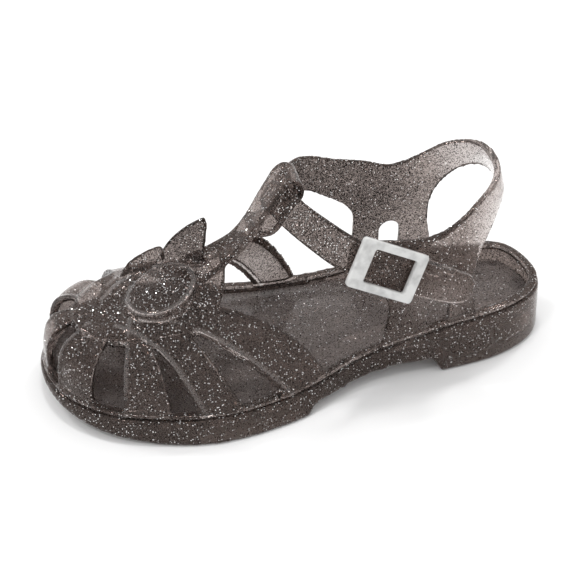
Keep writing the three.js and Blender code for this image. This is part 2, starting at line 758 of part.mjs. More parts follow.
function ringUnderCage() {
  const outer = ringStack([liftedRing(ringInset, ringUnderside), liftedRing(ringInset, topHeight)]);
  const inset = ringInset + baseRing;
  const inner = ringStack([
    liftedRing(inset, (along) => ringUnderside(along) - 1),
    liftedRing(inset, (along) => topHeight(along) + 1),
  ]);
  return outer.subtract(inner);
}

// Everything of the upper ends at the underside of its ring
const aboveRing = () => ringStack([liftedRing(-overhang, ringUnderside), liftedRing(-overhang, () => cutHigh)]);

function upper() {
  const all = joined([
    ringUnderCage(),
    cage(),
    disc(),
    ...leafRows.map(leaf),
    instepStrap(),
    rearCage(),
    ankleStrap(),
    ...buckleSeats(),
  ]);
  return all.intersect(aboveRing());
}

// Plane of the buckle: X runs back along the strap, Z outward, and its origin lies clear of the strap's face
const [buckleRow, rowBehind] = ankleStrapRows.slice(7, 9);
const postPlace = 0.33;
const buckleTilt = 16;
function bucklePlane() {
  const strapRun = toPlace(rowBehind.at).sub(toPlace(buckleRow.at));
  const turn = new THREE.Euler(THREE.MathUtils.degToRad(-90 - buckleTilt), 0, 0);
  const matrix = new THREE.Matrix4().makeRotationY(-Math.atan2(strapRun.z, strapRun.x));
  matrix.multiply(new THREE.Matrix4().makeRotationFromEuler(turn));
  const outward = new THREE.Vector3().setFromMatrixColumn(matrix, 2);
  const centre = toPlace(buckleRow.at).addScaledVector(outward, strapThickness / 2 + clearance);
  return matrix.setPosition(centre);
}

// Posts under the frame's two long bars, and the peg that comes through the hole in the strap
function buckleSeats() {
  const barMiddle = (frameWidth - sideBar) / 2;
  const pillar = (x, y, radius, from, to) => {
    const geometry = new THREE.CylinderGeometry(radius, radius, to - from, 12);
    geometry.rotateX(Math.PI / 2).translate(x, y, (from + to) / 2);
    return toSolid(geometry.applyMatrix4(bucklePlane()));
  };
  const postFoot = -strapThickness - upperWall;
  return [
    pillar(frameLength * postPlace, barMiddle, postRadius, postFoot, -clearance),
    pillar(frameLength * postPlace, -barMiddle, postRadius, postFoot, -clearance),
    pillar(0, 0, pegRadius, -strapThickness, pegRise - clearance),
  ];
}

// Buckle frame in its own plane, with a wide front bar
function buckleFrame() {
  const bevel = 0.5;
  const roundedRectangle = (shape, middle, halfLength, halfWide, radius) => {
    shape.moveTo(middle - halfLength + radius, -halfWide);
    shape.absarc(middle + halfLength - radius, -halfWide + radius, radius, -Math.PI / 2, 0);
    shape.absarc(middle + halfLength - radius, halfWide - radius, radius, 0, Math.PI / 2);
    shape.absarc(middle - halfLength + radius, halfWide - radius, radius, Math.PI / 2, Math.PI);
    shape.absarc(middle - halfLength + radius, -halfWide + radius, radius, Math.PI, 1.5 * Math.PI);
    return shape;
  };
  const shape = roundedRectangle(new THREE.Shape(), 0, frameLength / 2 - bevel, frameWidth / 2 - bevel, frameCorner);
  const windowHalf = (frameLength - frontBar - rearBar) / 2 + bevel;
  const windowMiddle = (frontBar - rearBar) / 2;
  shape.holes.push(roundedRectangle(
    new THREE.Path(),
    windowMiddle,
    windowHalf,
    frameWidth / 2 - sideBar + bevel,
    frameCorner,
  ));
  const geometry = new THREE.ExtrudeGeometry(shape, {
    depth: frameThickness - 2 * bevel,
    bevelThickness: bevel,
    bevelSize: bevel,
    bevelSegments: 2,
    curveSegments: 3,
  });
  return toSolid(geometry.translate(0, 0, bevel));
}

function toMesh(name, solid, material) {
  const { vertProperties, triVerts } = solid.getMesh();
  const geometry = new THREE.BufferGeometry();
  geometry.setAttribute('position', new THREE.Float32BufferAttribute(vertProperties, 3));
  geometry.setIndex(Array.from(triVerts));
  const mesh = new THREE.Mesh(geometry, material);
  mesh.name = name;
  return mesh;
}

function buckle() {
  const mesh = toMesh('buckle_frame', buckleFrame(), whitePlastic);
  mesh.applyMatrix4(bucklePlane());
  return mesh;
}

const sandal = new THREE.Group();
sandal.add(toMesh('sole', sole(), jellySole));
sandal.add(toMesh('footbed', footbed(), jellyBed));
sandal.add(toMesh('upper', upper(), jelly));
sandal.add(buckle());

// The origin is the middle of the footprint, on the floor
sandal.updateMatrixWorld(true);
const reach = new THREE.Box3().setFromObject(sandal, true);
sandal.position.set(-(reach.min.x + reach.max.x) / 2, -(reach.min.y + reach.max.y) / 2, -reach.min.z);
export default sandal;
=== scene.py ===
# Child's jelly sandal for the left foot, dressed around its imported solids: smoky clear soft plastic with
# silver glitter, a hollow block sole with ribs inside, a thin footbed sheet and a pale hard buckle.
# Sizes are millimetres in the sandal's own frame: +X to the toe, +Y to the outer side, +Z up.

import math

import bmesh
import bpy
import numpy as np
from mathutils import Matrix, Vector
from mathutils.kdtree import KDTree


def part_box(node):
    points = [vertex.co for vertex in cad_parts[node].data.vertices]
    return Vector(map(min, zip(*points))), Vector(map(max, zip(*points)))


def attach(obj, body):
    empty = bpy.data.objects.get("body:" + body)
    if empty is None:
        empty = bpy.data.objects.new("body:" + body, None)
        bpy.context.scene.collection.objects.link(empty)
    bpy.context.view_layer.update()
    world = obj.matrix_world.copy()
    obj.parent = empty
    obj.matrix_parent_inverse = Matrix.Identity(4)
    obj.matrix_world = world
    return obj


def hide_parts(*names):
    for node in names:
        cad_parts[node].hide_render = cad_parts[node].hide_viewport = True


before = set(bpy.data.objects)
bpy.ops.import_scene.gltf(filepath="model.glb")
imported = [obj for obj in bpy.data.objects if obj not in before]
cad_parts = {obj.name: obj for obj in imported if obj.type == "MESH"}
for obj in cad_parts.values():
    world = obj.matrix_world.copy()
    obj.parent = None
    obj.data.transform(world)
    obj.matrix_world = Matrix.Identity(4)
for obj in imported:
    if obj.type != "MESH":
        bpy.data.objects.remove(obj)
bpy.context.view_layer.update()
MM = 0.001

# Driving dimensions of the whole shoe
SOLE_LENGTH = 172
BALL_WIDTH = 71.8
HEEL_SIDE = 20.2
COLLAR_HEIGHT = 73
INSTEP_HEIGHT = 0.849 * COLLAR_HEIGHT
TOE_SPRING = 6.2
SPRING_FROM = 0.74
CLEARANCE = 0.3
CENTRE_LINE = 0.02 * SOLE_LENGTH
CUT_HIGH = 200

# Sole
SOLE_WALL = 3.2
SOLE_FLARE = 2.2
BOTTOM_ROUNDING = 1
TREAD_SKIN = 2.2
RIB_WIDTH = 2.2
CELL_PITCH = 16.8
ARCH_LIFT = 6.3
ARCH_FRONT_LIFT = 3.1
HEEL_BLOCK_SLANT = 4.6
BLOCK_CORNER = 1.6
HEEL_BLOCK_FRONT = 0.257
FOREFOOT_BLOCK_REAR = 0.515
BLOCK_REAR = 0.03
CELL_FRONT = 0.93
FOOTBED = 1.6
FOOTBED_BEVEL = 0.8
FOOTBED_BEVEL_FROM = 0.35
SOLE_SKIN = 0.8
SOLE_SOFTENING = 5

# Upper
UPPER_WALL = 2.3
UPPER_SKIN = 0.55
UPPER_SOFTENING = 8
BASE_RING = 3.4
BASE_RING_THICKNESS = 1.5
RING_INSET = 0.5
PLATE_RISE = 0.9
PLATE_LENGTH = 50
PLATE_WIDTH = 40
PLATE_CENTRE = 0.79
PLATE_NARROWING = 0.12
PLATE_SQUARENESS = 2.3
DISC_RADIUS = 12.2
DISC_RISE = 2.6
DISC_SINK = 0.6 * UPPER_WALL
DISC_EDGE = 0.3
DISC_LEVEL = 0.75
DISC_SHOULDER = 0.9
# Place of the painted highlight ring near the disc's rim, as shares of its radius and rise
DISC_HIGHLIGHT_AT = 0.93
DISC_HIGHLIGHT_UP = 0.7
DISC_SIDES = 96
DISC_ALONG = 0.769
DISC_ASIDE = 7.2
LEAF_THICKNESS = 1.9
LEAF_POINT = 2.2
LEAF_FULL = 0.8
LEAF_TIP = 0.03
LEAF_CUP = 0.8
COLLAR_OUTER = 24
COLLAR_INNER = 22
ARCH_WINDOW_WIDTH = 7
INSTEP_STRAP_HALF = 6
ANKLE_STRAP_HALF = 5.5
LEAF_HALF = 8
STRAP_THICKNESS = 2.2
ANKLE_STRAP_STEPS = 160
INSTEP_STRAP_STEPS = 180
STRAP_CORNER = 0.5
LEAST_FLAT = 0.5
DOME_INSET = RING_INSET + 0.5
DOME_SINK = 0.7
DOME_FROM = 0.42
TOE_TIP = 0.998
TOE_ROUND_FROM = 0.93
CROWN_SOFTNESS = 0.15
ANKLE_FRONT = 0.0465 * SOLE_LENGTH
ANKLE_REAR = -0.42 * SOLE_LENGTH
ANKLE_REAR_HEIGHT = 0.685 * COLLAR_HEIGHT
ANKLE_LEAN = 0.25
ANKLE_SQUARENESS = 2.4
ANKLE_FROM = 0.2
BLEND_FROM = 14
BLEND_HEIGHT = 30

# Buckle
FRAME_LENGTH = 24.3
FRAME_WIDTH = 16.9
FRAME_THICKNESS = 2.6
FRONT_BAR = 5.2
REAR_BAR = 3.6
SIDE_BAR = 2.8
OUTER_CORNER = 1.2
INNER_CORNER = 0.9
BAR_ROUNDNESS = 0.45
PILLAR_SIDES = 32
PILLAR_BEVEL = 0.35
POST_RADIUS = 1
PEG_RADIUS = 1.7
PEG_RISE = 0.8
POST_PLACE = 0.33
BUCKLE_TILT = 16

# Half widths beside the centre line as shares of the ball width, at shares of the length from the heel
OUTLINE = {
    "along": [0, 0.04, 0.12, 0.25, 0.4, 0.55, 0.7, 0.82, 0.92, 0.975, 1],
    "outer": [0, 0.182, 0.277, 0.319, 0.34, 0.487, 0.55, 0.5, 0.391, 0.242, 0],
    "inner": [0, 0.247, 0.28, 0.331, 0.361, 0.391, 0.45, 0.453, 0.361, 0.209, 0],
}

# Side wall's top and footbed's top as shares of the heel side, and how much of the flare the wall has
HEIGHTS = {
    "along": [0, 0.21, 0.413, 0.733, 1],
    "top": [1, 0.99, 0.634, 0.515, 0.56],
    "bed": [0.72, 0.66, 0.5, 0.39, 0.47],
    "flare": [0.25, 0.35, 0.75, 1, 0.2],
}

# Crown of the last as a share of the instep height, its shift to the outer side, and the section's two powers
LAST = {
    "along": [0.4, 0.471, 0.57, 0.657, 0.721, 0.785, 0.843, 0.895, 0.942, 1],
    "crown": [1.065, 1, 0.884, 0.74, 0.658, 0.594, 0.537, 0.503, 0.48, 0.45],
    "apex": [-0.05, -0.045, -0.04, 0, 0.03, 0.045, 0.045, 0.045, 0.045, 0.045],
    "round": [1.2, 1.2, 1.25, 1.45, 1.75, 2.1, 2.5, 2.8, 3, 3],
    "full": [1, 1, 1, 1, 0.95, 0.62, 0.45, 0.37, 0.34, 0.333],
}

# Bands of the cage: sides, rear and front edge at the rim, the places that the edges point to, and the reach
BANDS = [
    {"sides": [1], "rim": (0.669, 0.58), "aim": (0.962, 1), "reach": 0.6, "lip": 0.6},
    {"sides": [-1], "rim": (0.655, 0.58), "aim": (0.665, 0.775), "reach": 0.95, "lip": 0.6},
    {"sides": [1, -1], "rim": (0.482, 0.408), "aim": (0.855, 0.925), "reach": 0.6, "lip": 0.7},
    {"sides": [1, -1], "rim": (0.34, 0.248), "aim": (0.85, 0.815), "reach": 0.6, "lip": 0.66},
    {"sides": [1, -1], "rim": (0.176, 0.09), "aim": (0.8, 0.835), "reach": 0.6, "lip": 0.5},
]
TOE_BAND_HALF = 0.035
TOE_BAND_REACH = 0.6
BAND_OVERHANG = 8
LIP_RADIUS = 0.75
LIP_PLATE_FROM = 0.42
PETAL_RADIUS = 0.8
RIDGE_SINK = 0.25
RIDGE_TAPER = 4
RIDGE_POINT = 0.02
RIDGE_SIDES = 10
LIP_FROM = 0.02
LIP_PLATE_RAMP = 0.08

# Side view of the rear cage: share of the length, share of the collar height
COLLAR_EDGE = [(0.05, 1.03), (0.105, 0.965), (0.14, 0.93), (0.175, 0.892), (0.209, 0.838), (0.244, 0.793),
               (0.28, 0.774)]
OUTER_REAR_EDGE = [(0.165, 0.13), (0.17, 0.33), (0.18, 0.49), (0.169, 0.622), (0.145, 0.727), (0.116, 0.815),
                   (0.05, 0.885)]
INNER_REAR_EDGE = [(0.18, 0.13), (0.19, 0.33), (0.199, 0.49), (0.191, 0.612), (0.16, 0.732), (0.116, 0.82),
                   (0.05, 0.885)]
OUTER_FRONT_EDGE = [(0.335, 0.78), (0.375, 0.79), (0.401, 0.76), (0.398, 0.69), (0.37, 0.54), (0.348, 0.41),
                    (0.354, 0.25), (0.358, 0.13)]
INNER_TOP_EDGE = [(0.33, 0.81), (0.39, 0.845), (0.44, 0.89), (0.475, 0.91)]
INNER_FRONT_EDGE = [(0.475, 0.765), (0.42, 0.672), (0.372, 0.59), (0.354, 0.53), (0.35, 0.44), (0.353, 0.3),
                    (0.356, 0.13)]
ARCH_WINDOWS = [{"side": 1, "along": 0.248, "up": 0.425}, {"side": -1, "along": 0.275, "up": 0.455}]

# Straps and leaves: places are shares of the sole length, the outer collar's half width and the collar height
ANKLE_STRAP = [
    ((-0.07, -0.783, 0.795), (-0.273, 0, 1.164)),
    ((-0.023, -0.692, 0.83), (-0.436, -0.091, 1.091)),
    ((0.013, -0.408, 0.871), (-0.545, -0.145, 0.891)),
    ((0.033, 0, 0.893), (-0.6, 0, 0.782)),
    ((0.026, 0.35, 0.885), (-0.636, 0.109, 0.764)),
    ((-0.017, 0.725, 0.825), (-0.582, 0.127, 0.927)),
    ((-0.067, 1.025, 0.762), (-0.527, -0.109, 0.964)),
    ((-0.13, 1.117, 0.69), (-0.527, -0.291, 0.945)),
    ((-0.215, 1.117, 0.585), (-0.364, -0.291, 1)),
    ((-0.273, 1.108, 0.523), (-0.309, -0.273, 0.964)),
    ((-0.298, 1.096, 0.5), (-0.236, -0.218, 0.8)),
    ((-0.31, 1.088, 0.489), (-0.127, -0.109, 0.382)),
]
BUCKLE_ROW = 7
TAIL_FROM = 0.72
INSTEP_STRAP = [
    ((0.203, 0.142, 0.58), 1.35),
    ((0.157, 0.125, 0.633), 1.12),
    ((0.116, 0.1, 0.693), 0.95),
    ((0.085, 0.075, 0.781), 0.95),
    ((0.063, 0.05, 0.863), 1),
    ((0.043, 0.025, 0.932), 1.04),
    ((0.03, 0.008, 0.973), 1.06),
    ((0.015, 0, 0.99), 1.06),
    ((0, 0, 0.971), 1.06),
    ((-0.002, 0, 0.923), 1.04),
    ((0.015, 0, 0.86), 1),
    ((0.033, 0.017, 0.8), 1),
    ((0.053, 0.037, 0.753), 1),
    ((0.084, 0.058, 0.748), 0.96),
]
FOLD_SHARE = 25 / 36

LEAVES = [
    {"root": (0.221, -0.062, 0.541), "bulge": (0.212, -0.125, 0.699), "tip": (0.18, 0.146, 0.853),
     "across": (0.812, -0.562, -0.25)},
    {"root": (0.291, -0.271, 0.466), "bulge": (0.282, -0.375, 0.541), "tip": (0.252, -0.375, 0.611),
     "across": (0.75, -0.438, -0.188)},
]


# Curves through the tables

def smooth(places, values, at):
    places = np.asarray(places, float)
    values = np.asarray(values, float)
    widths = np.diff(places)
    grades = np.diff(values) / widths
    slopes = np.empty(len(places))
    slopes[0] = grades[0]
    slopes[-1] = grades[-1]
    slopes[1:-1] = (grades[:-1] * widths[1:] + grades[1:] * widths[:-1]) / (widths[:-1] + widths[1:])
    x = np.clip(at, places[0], places[-1])
    row = np.clip(np.searchsorted(places, x, side="right") - 1, 0, len(places) - 2)
    width = widths[row]
    t = (x - places[row]) / width
    low = (2 * t**3 - 3 * t**2 + 1) * values[row] + (t**3 - 2 * t**2 + t) * width * slopes[row]
    high = (3 * t**2 - 2 * t**3) * values[row + 1] + (t**3 - t**2) * width * slopes[row + 1]
    return low + high


def angle_at(along):
    return np.arccos(1 - 2 * np.clip(along, 0, 1))


def half_width(side, along):
    name = "outer" if side > 0 else "inner"
    return BALL_WIDTH * smooth(angle_at(OUTLINE["along"]), OUTLINE[name], angle_at(along))


def place_x(along):
    return (np.asarray(along, float) - 0.5) * SOLE_LENGTH


def share_of(x):
    return np.asarray(x, float) / SOLE_LENGTH + 0.5


def height(name, along):
    return HEEL_SIDE * smooth(HEIGHTS["along"], HEIGHTS[name], along)


def bottom(along):
    return TOE_SPRING * (np.maximum(0, along - SPRING_FROM) / (1 - SPRING_FROM)) ** 2


def parting(along):
    return height("top", along) - BASE_RING_THICKNESS - CLEARANCE


def bed_underside(along):
    return height("bed", along) - FOOTBED - CLEARANCE


def ring_underside(along):
    return height("top", along) - BASE_RING_THICKNESS


def unit(vectors):
    return vectors / np.maximum(np.linalg.norm(vectors, axis=-1, keepdims=True), 1e-12)


# Closed ring round the outline, moved inward by an inset that may follow the length
SIDE_STEPS = 150


def outline_ring(inset):
    along = (1 - np.cos(np.pi * np.arange(SIDE_STEPS + 1) / SIDE_STEPS)) / 2
    outer = np.stack([place_x(along), half_width(1, along)], -1)
    inner = np.stack([place_x(along), -half_width(-1, along)], -1)
    ring = np.concatenate([outer, inner[-2:0:-1]])
    run = unit(np.roll(ring, -1, 0) - np.roll(ring, 1, 0))
    shift = inset(share_of(ring[:, 0])) if callable(inset) else np.full(len(ring), float(inset))
    return ring + np.stack([run[:, 1], -run[:, 0]], -1) * shift[:, None]


def lifted_ring(inset, level):
    ring = outline_ring(inset)
    up = level(share_of(ring[:, 0])) if callable(level) else np.full(len(ring), float(level))
    return np.column_stack([ring, up])


# Mesh helpers

def make_object(name, points, faces):
    mesh = bpy.data.meshes.new(name)
    mesh.from_pydata((np.asarray(points, float) * MM).tolist(), [], faces)
    piece = bpy.data.objects.new(name, mesh)
    bpy.context.scene.collection.objects.link(piece)
    work = bmesh.new()
    work.from_mesh(mesh)
    bmesh.ops.remove_doubles(work, verts=work.verts, dist=1e-7)
    bmesh.ops.dissolve_degenerate(work, edges=work.edges, dist=1e-8)
    bmesh.ops.recalc_face_normals(work, faces=work.faces)
    work.to_mesh(mesh)
    work.free()
    return piece


def drop(piece):
    bpy.data.objects.remove(piece, do_unlink=True)


def applied(piece):
    depsgraph = bpy.context.evaluated_depsgraph_get()
    mesh = bpy.data.meshes.new_from_object(piece.evaluated_get(depsgraph))
    piece.modifiers.clear()
    piece.data = mesh
    return piece


def joined(name, pieces):
    work = bmesh.new()
    for piece in pieces:
        work.from_mesh(piece.data)
        drop(piece)
    mesh = bpy.data.meshes.new(name)
    work.to_mesh(mesh)
    work.free()
    piece = bpy.data.objects.new(name, mesh)
    bpy.context.scene.collection.objects.link(piece)
    return piece


def combine(piece, other, operation):
    modifier = piece.modifiers.new("combine", "BOOLEAN")
    modifier.operation = operation
    modifier.solver = "MANIFOLD"
    modifier.object = other
    applied(piece)
    drop(other)
    return piece


# One moulded body: a fine even skin over all the pieces, with its edges softened
def mould(piece, voxel, soften):
    remesh = piece.modifiers.new("skin", "REMESH")
    remesh.mode = "VOXEL"
    remesh.voxel_size = voxel * MM
    remesh.adaptivity = 0
    applied(piece)
    relax = piece.modifiers.new("soften", "SMOOTH")
    relax.factor = 0.5
    relax.iterations = soften
    return applied(piece)


# Quads between closed rings that follow each other
def between_rings(levels, count):
    faces = []
    for r in range(levels - 1):
        for i in range(count):
            a = r * count + i
            b = r * count + (i + 1) % count
            faces.append((a, b, b + count, a + count))
    return faces


# Solid through closed rings, with a flat face at each end
def tube(name, rings):
    count = len(rings[0])
    last = (len(rings) - 1) * count
    faces = between_rings(len(rings), count)
    faces += [tuple(range(count))[::-1], tuple(range(last, last + count))]
    return make_object(name, np.concatenate(rings), faces)


# Solid through rings that are mirror images along their length, closed with strips from side to side
def ring_stack(name, rings):
    count = len(rings[0])
    faces = between_rings(len(rings), count)
    top = (len(rings) - 1) * count
    for i in range(count // 2):
        far = (count - i) % count
        far_next = count - i - 1
        faces.append(tuple(dict.fromkeys((i, i + 1, far_next, far))))
        faces.append(tuple(dict.fromkeys((top + i, top + far, top + far_next, top + i + 1))))
    return make_object(name, np.concatenate(rings), faces)


def wall_solid(name, outer, inner):
    rows, columns = outer.shape[:2]
    points = np.concatenate([outer.reshape(-1, 3), inner.reshape(-1, 3)])
    offset = rows * columns

    def at(r, c):
        return r * columns + c

    faces = []
    for r in range(rows - 1):
        for c in range(columns - 1):
            quad = (at(r, c), at(r + 1, c), at(r + 1, c + 1), at(r, c + 1))
            faces.append(quad)
            faces.append(tuple(offset + v for v in reversed(quad)))
    for c0 in (0, columns - 1):
        for r in range(rows - 1):
            faces.append((at(r, c0), offset + at(r, c0), offset + at(r + 1, c0), at(r + 1, c0)))
    for r0 in (0, rows - 1):
        for c in range(columns - 1):
            faces.append((at(r0, c), at(r0, c + 1), offset + at(r0, c + 1), offset + at(r0, c)))
    return make_object(name, points, faces)


# The two directions in which a surface runs at a place
def surface_runs(surface, u, v):
    tiny = 1e-3
    return surface(u + tiny, v) - surface(u - tiny, v), surface(u, v + tiny) - surface(u, v - tiny)


# Grid of points moved along the surface's own direction
def moved_grid(surface, us, vs, distance):
    u, v = np.meshgrid(us, vs, indexing="ij")
    return surface(u, v) + unit(np.cross(*surface_runs(surface, u, v))) * distance


def plan_prism(name, points, low, high):
    return tube(name, [np.column_stack([points, np.full(len(points), float(up))]) for up in (low, high)])


def side_prism(name, points, start, end):
    x, up = np.asarray(points, float).T
    return tube(name, [np.column_stack([x, np.full(len(x), float(y)), up]) for y in (start, end)])


# Centripetal curve through points, at even shares of its spans
def through(points, count):
    points = np.asarray(points, float)
    knots = np.concatenate([[0], np.cumsum(np.linalg.norm(np.diff(points, axis=0), axis=1) ** 0.5)])
    padded = np.concatenate([[2 * points[0] - points[1]], points, [2 * points[-1] - points[-2]]])
    times = np.concatenate([[2 * knots[0] - knots[1]], knots, [2 * knots[-1] - knots[-2]]])
    result = []
    for share in np.linspace(0, len(points) - 1, count):
        i = min(int(share), len(points) - 2)
        p = padded[i:i + 4]
        t = times[i:i + 4]
        here = t[1] + (share - i) * (t[2] - t[1])
        a = [((t[k + 1] - here) * p[k] + (here - t[k]) * p[k + 1]) / (t[k + 1] - t[k]) for k in range(3)]
        b = [((t[k + 2] - here) * a[k] + (here - t[k]) * a[k + 1]) / (t[k + 2] - t[k]) for k in range(2)]
        result.append(((t[2] - here) * b[0] + (here - t[1]) * b[1]) / (t[2] - t[1]))
    return np.array(result)


def to_place(shares):
    return np.asarray(shares, float) * (SOLE_LENGTH, COLLAR_OUTER, COLLAR_HEIGHT)


def eased(rows, count):
    rows = np.asarray(rows, float)
    at = np.linspace(0, len(rows) - 1, count)
    return np.stack([smooth(np.arange(len(rows)), column, at) for column in rows.T], -1)


# Sole

def sole_body():
    def flare(along):
        return SOLE_FLARE * smooth(HEIGHTS["along"], HEIGHTS["flare"], along)

    def ring(rounding, lift):
        return lifted_ring(lambda along: BOTTOM_ROUNDING * rounding - flare(along),
                           lambda along: bottom(along) + BOTTOM_ROUNDING * lift)

    return ring_stack("body", [ring(1, 0), ring(0.3, 0.3), ring(0, 1), lifted_ring(0, parting)])


def sole_well():
    return ring_stack("well", [lifted_ring(SOLE_WALL, bed_underside),
                               lifted_ring(SOLE_WALL, lambda along: parting(along) + 1)])


def cell_grid(start, end):
    core = ring_stack("core", [lifted_ring(SOLE_WALL + 1, lambda along: bottom(along) + TREAD_SKIN),
                               lifted_ring(SOLE_WALL + 1, lambda along: bed_underside(along) + 1)])
    along_count = max(1, round((end - start) / CELL_PITCH))
    across_count = max(1, round(BALL_WIDTH / CELL_PITCH))
    along_pitch = (end - start) / along_count
    across_pitch = BALL_WIDTH / across_count
    boxes = []
    for i in range(along_count):
        for j in range(across_count):
            x = start + along_pitch * (i + 0.5)
            y = across_pitch * (j + 0.5 - across_count / 2) + CENTRE_LINE
            dx = (along_pitch - RIB_WIDTH) / 2
            dy = (across_pitch - RIB_WIDTH) / 2
            corners = [(x - dx, y - dy), (x + dx, y - dy), (x + dx, y + dy), (x - dx, y + dy)]
            boxes.append(plan_prism("cell", corners, -CUT_HIGH, CUT_HIGH))
    return combine(joined("cells", boxes), core, "INTERSECT")


def arch_cut():
    front = float(place_x(FOREFOOT_BLOCK_REAR))
    rear = float(place_x(HEEL_BLOCK_FRONT))
    return side_prism("arch", [
        (rear - HEEL_BLOCK_SLANT, -1),
        (rear - HEEL_BLOCK_SLANT + 0.5, 0),
        (rear, ARCH_LIFT),
        ((rear * 2 + front) / 3, ARCH_LIFT * 0.9),
        ((rear + front * 2) / 3, ARCH_LIFT * 0.35 + ARCH_FRONT_LIFT * 0.6),
        (front - BLOCK_CORNER, ARCH_FRONT_LIFT),
        (front - BLOCK_CORNER * 0.3, ARCH_FRONT_LIFT * 0.75),
        (front, ARCH_FRONT_LIFT * 0.3),
        (front + 0.3, -1),
    ], -BALL_WIDTH, BALL_WIDTH)


def make_sole():
    body = sole_body()
    heel_front = float(place_x(HEEL_BLOCK_FRONT)) - HEEL_BLOCK_SLANT - RIB_WIDTH
    cuts = [
        arch_cut(),
        sole_well(),
        cell_grid(float(place_x(BLOCK_REAR)), heel_front),
        cell_grid(float(place_x(FOREFOOT_BLOCK_REAR)) + RIB_WIDTH, float(place_x(CELL_FRONT))),
    ]
    for cut in cuts:
        combine(body, cut, "DIFFERENCE")
    return body


def make_footbed():
    inset = SOLE_WALL + CLEARANCE
    return ring_stack("footbed_sheet", [
        lifted_ring(inset, lambda along: height("bed", along) - FOOTBED),
        lifted_ring(inset, lambda along: height("bed", along) - FOOTBED * FOOTBED_BEVEL_FROM),
        lifted_ring(inset + FOOTBED_BEVEL, lambda along: height("bed", along)),
    ])


# Forefoot of the last as a surface: share of the length, and angle from the inner rim over the crown
def dome_point(along, angle):
    outer = half_width(1, along) - DOME_INSET
    inner = half_width(-1, along) - DOME_INSET
    base = height("top", along) - DOME_SINK
    crown = INSTEP_HEIGHT * smooth(LAST["along"], LAST["crown"], along)
    toe = np.clip((along - TOE_ROUND_FROM) / (1 - TOE_ROUND_FROM), 0, 1)
    rise = (crown - base) * np.cbrt(1 - toe**3)
    t = np.sin(angle)
    apex = BALL_WIDTH * smooth(LAST["along"], LAST["apex"], along) / np.maximum((outer + inner) / 2, 1)
    from_apex = (t - apex) / np.where(t > apex, 1 - apex, 1 + apex)
    soft = np.hypot(from_apex, CROWN_SOFTNESS) - CROWN_SOFTNESS
    soft /= math.hypot(1, CROWN_SOFTNESS) - CROWN_SOFTNESS
    power = smooth(LAST["along"], LAST["round"], along)
    full = smooth(LAST["along"], LAST["full"], along)
    up = np.maximum(0, 1 - soft**power) ** full
    x = place_x(along) * (1 - 2 * DOME_INSET / SOLE_LENGTH)
    return np.stack([x, (outer - inner) / 2 + (outer + inner) / 2 * t, base + rise * up], -1)


DOME_ROWS = 150
DOME_COLUMNS = 130


def dome_wall(name, rise, wall):
    alongs = DOME_FROM + (TOE_TIP - DOME_FROM) * np.sin(np.linspace(0, np.pi / 2, DOME_ROWS))
    angles = np.linspace(-np.pi / 2, np.pi / 2, DOME_COLUMNS) * (1 - 1e-4)
    outer = moved_grid(dome_point, alongs, angles, rise)
    inner = moved_grid(dome_point, alongs, angles, rise - wall)
    tip = dome_point(np.array(TOE_TIP), np.array(0.0))
    end = np.array([tip[0] + 0.1, tip[1], height("top", 1.0) - DOME_SINK])
    outer_end = np.broadcast_to(end + (rise, 0, 0), (1, DOME_COLUMNS, 3))
    inner_end = np.broadcast_to(end + (rise - wall, 0, 0), (1, DOME_COLUMNS, 3))
    return wall_solid(name, np.concatenate([outer, outer_end]), np.concatenate([inner, inner_end]))


def rim_point(side, share):
    ring = outline_ring(0)
    order = ring[SIDE_STEPS::-1] if side > 0 else ring[SIDE_STEPS:]
    lengths = np.concatenate([[0], np.cumsum(np.linalg.norm(np.diff(order, axis=0), axis=1))])
    at = share * SOLE_LENGTH
    return np.array([np.interp(at, lengths, order[:, 0]), np.interp(at, lengths, order[:, 1])])


def band_outline(rims, aims, reach):
    past = [rim + unit(rim - aim) * BAND_OVERHANG for rim, aim in zip(rims, aims)]
    inside = [rim + (aim - rim) * reach for rim, aim in zip(rims, aims)]
    return [past[0], past[1], inside[1], inside[0]]


def cage_bands():
    def aim_at(share):
        return np.array([float(place_x(share)), CENTRE_LINE])

    bands = []
    for row in BANDS:
        for side in row["sides"]:
            rims = [rim_point(side, share) for share in row["rim"]]
            aims = [aim_at(share) for share in row["aim"]]
            bands.append(plan_prism("band", band_outline(rims, aims, row["reach"]), 0, CUT_HIGH))
    toe_aim = aim_at(BANDS[-1]["aim"][1])
    rims = [rim_point(1, TOE_BAND_HALF), rim_point(-1, TOE_BAND_HALF)]
    bands.append(plan_prism("band", band_outline(rims, [toe_aim, toe_aim], TOE_BAND_REACH), 0, CUT_HIGH))
    return bands


def plate_outline():
    a = np.linspace(0, 2 * np.pi, 120, endpoint=False)
    power = 2 / PLATE_SQUARENESS
    u = np.sign(np.cos(a)) * np.abs(np.cos(a)) ** power
    v = np.sign(np.sin(a)) * np.abs(np.sin(a)) ** power
    half = PLATE_WIDTH / 2 * (1 - PLATE_NARROWING * u)
    return np.stack([place_x(PLATE_CENTRE) + PLATE_LENGTH / 2 * u, CENTRE_LINE + half * v], -1)


def make_cage():
    pieces = []
    for band in cage_bands():
        pieces.append(combine(band, dome_wall("wall", 0, UPPER_WALL), "INTERSECT"))
    plate = plan_prism("plate", plate_outline(), 0, CUT_HIGH)
    pieces.append(combine(plate, dome_wall("plate_wall", PLATE_RISE, UPPER_WALL + PLATE_RISE), "INTERSECT"))
    return pieces


# Point and direction on the forefoot's surface above a place in plan
def dome_above(along, y):
    angles = np.linspace(-np.pi / 2, np.pi / 2, 4001)
    across = dome_point(np.full(angles.shape, along), angles)[:, 1]
    angle = float(np.interp(y, across, angles))
    normal = unit(np.cross(*surface_runs(dome_point, np.array(along), np.array(angle))))
    return dome_point(np.array(along), np.array(angle)), normal


# Places along raised edges that get a painted highlight: a lighter tint with almost no glitter
painted_highlight_lines = []


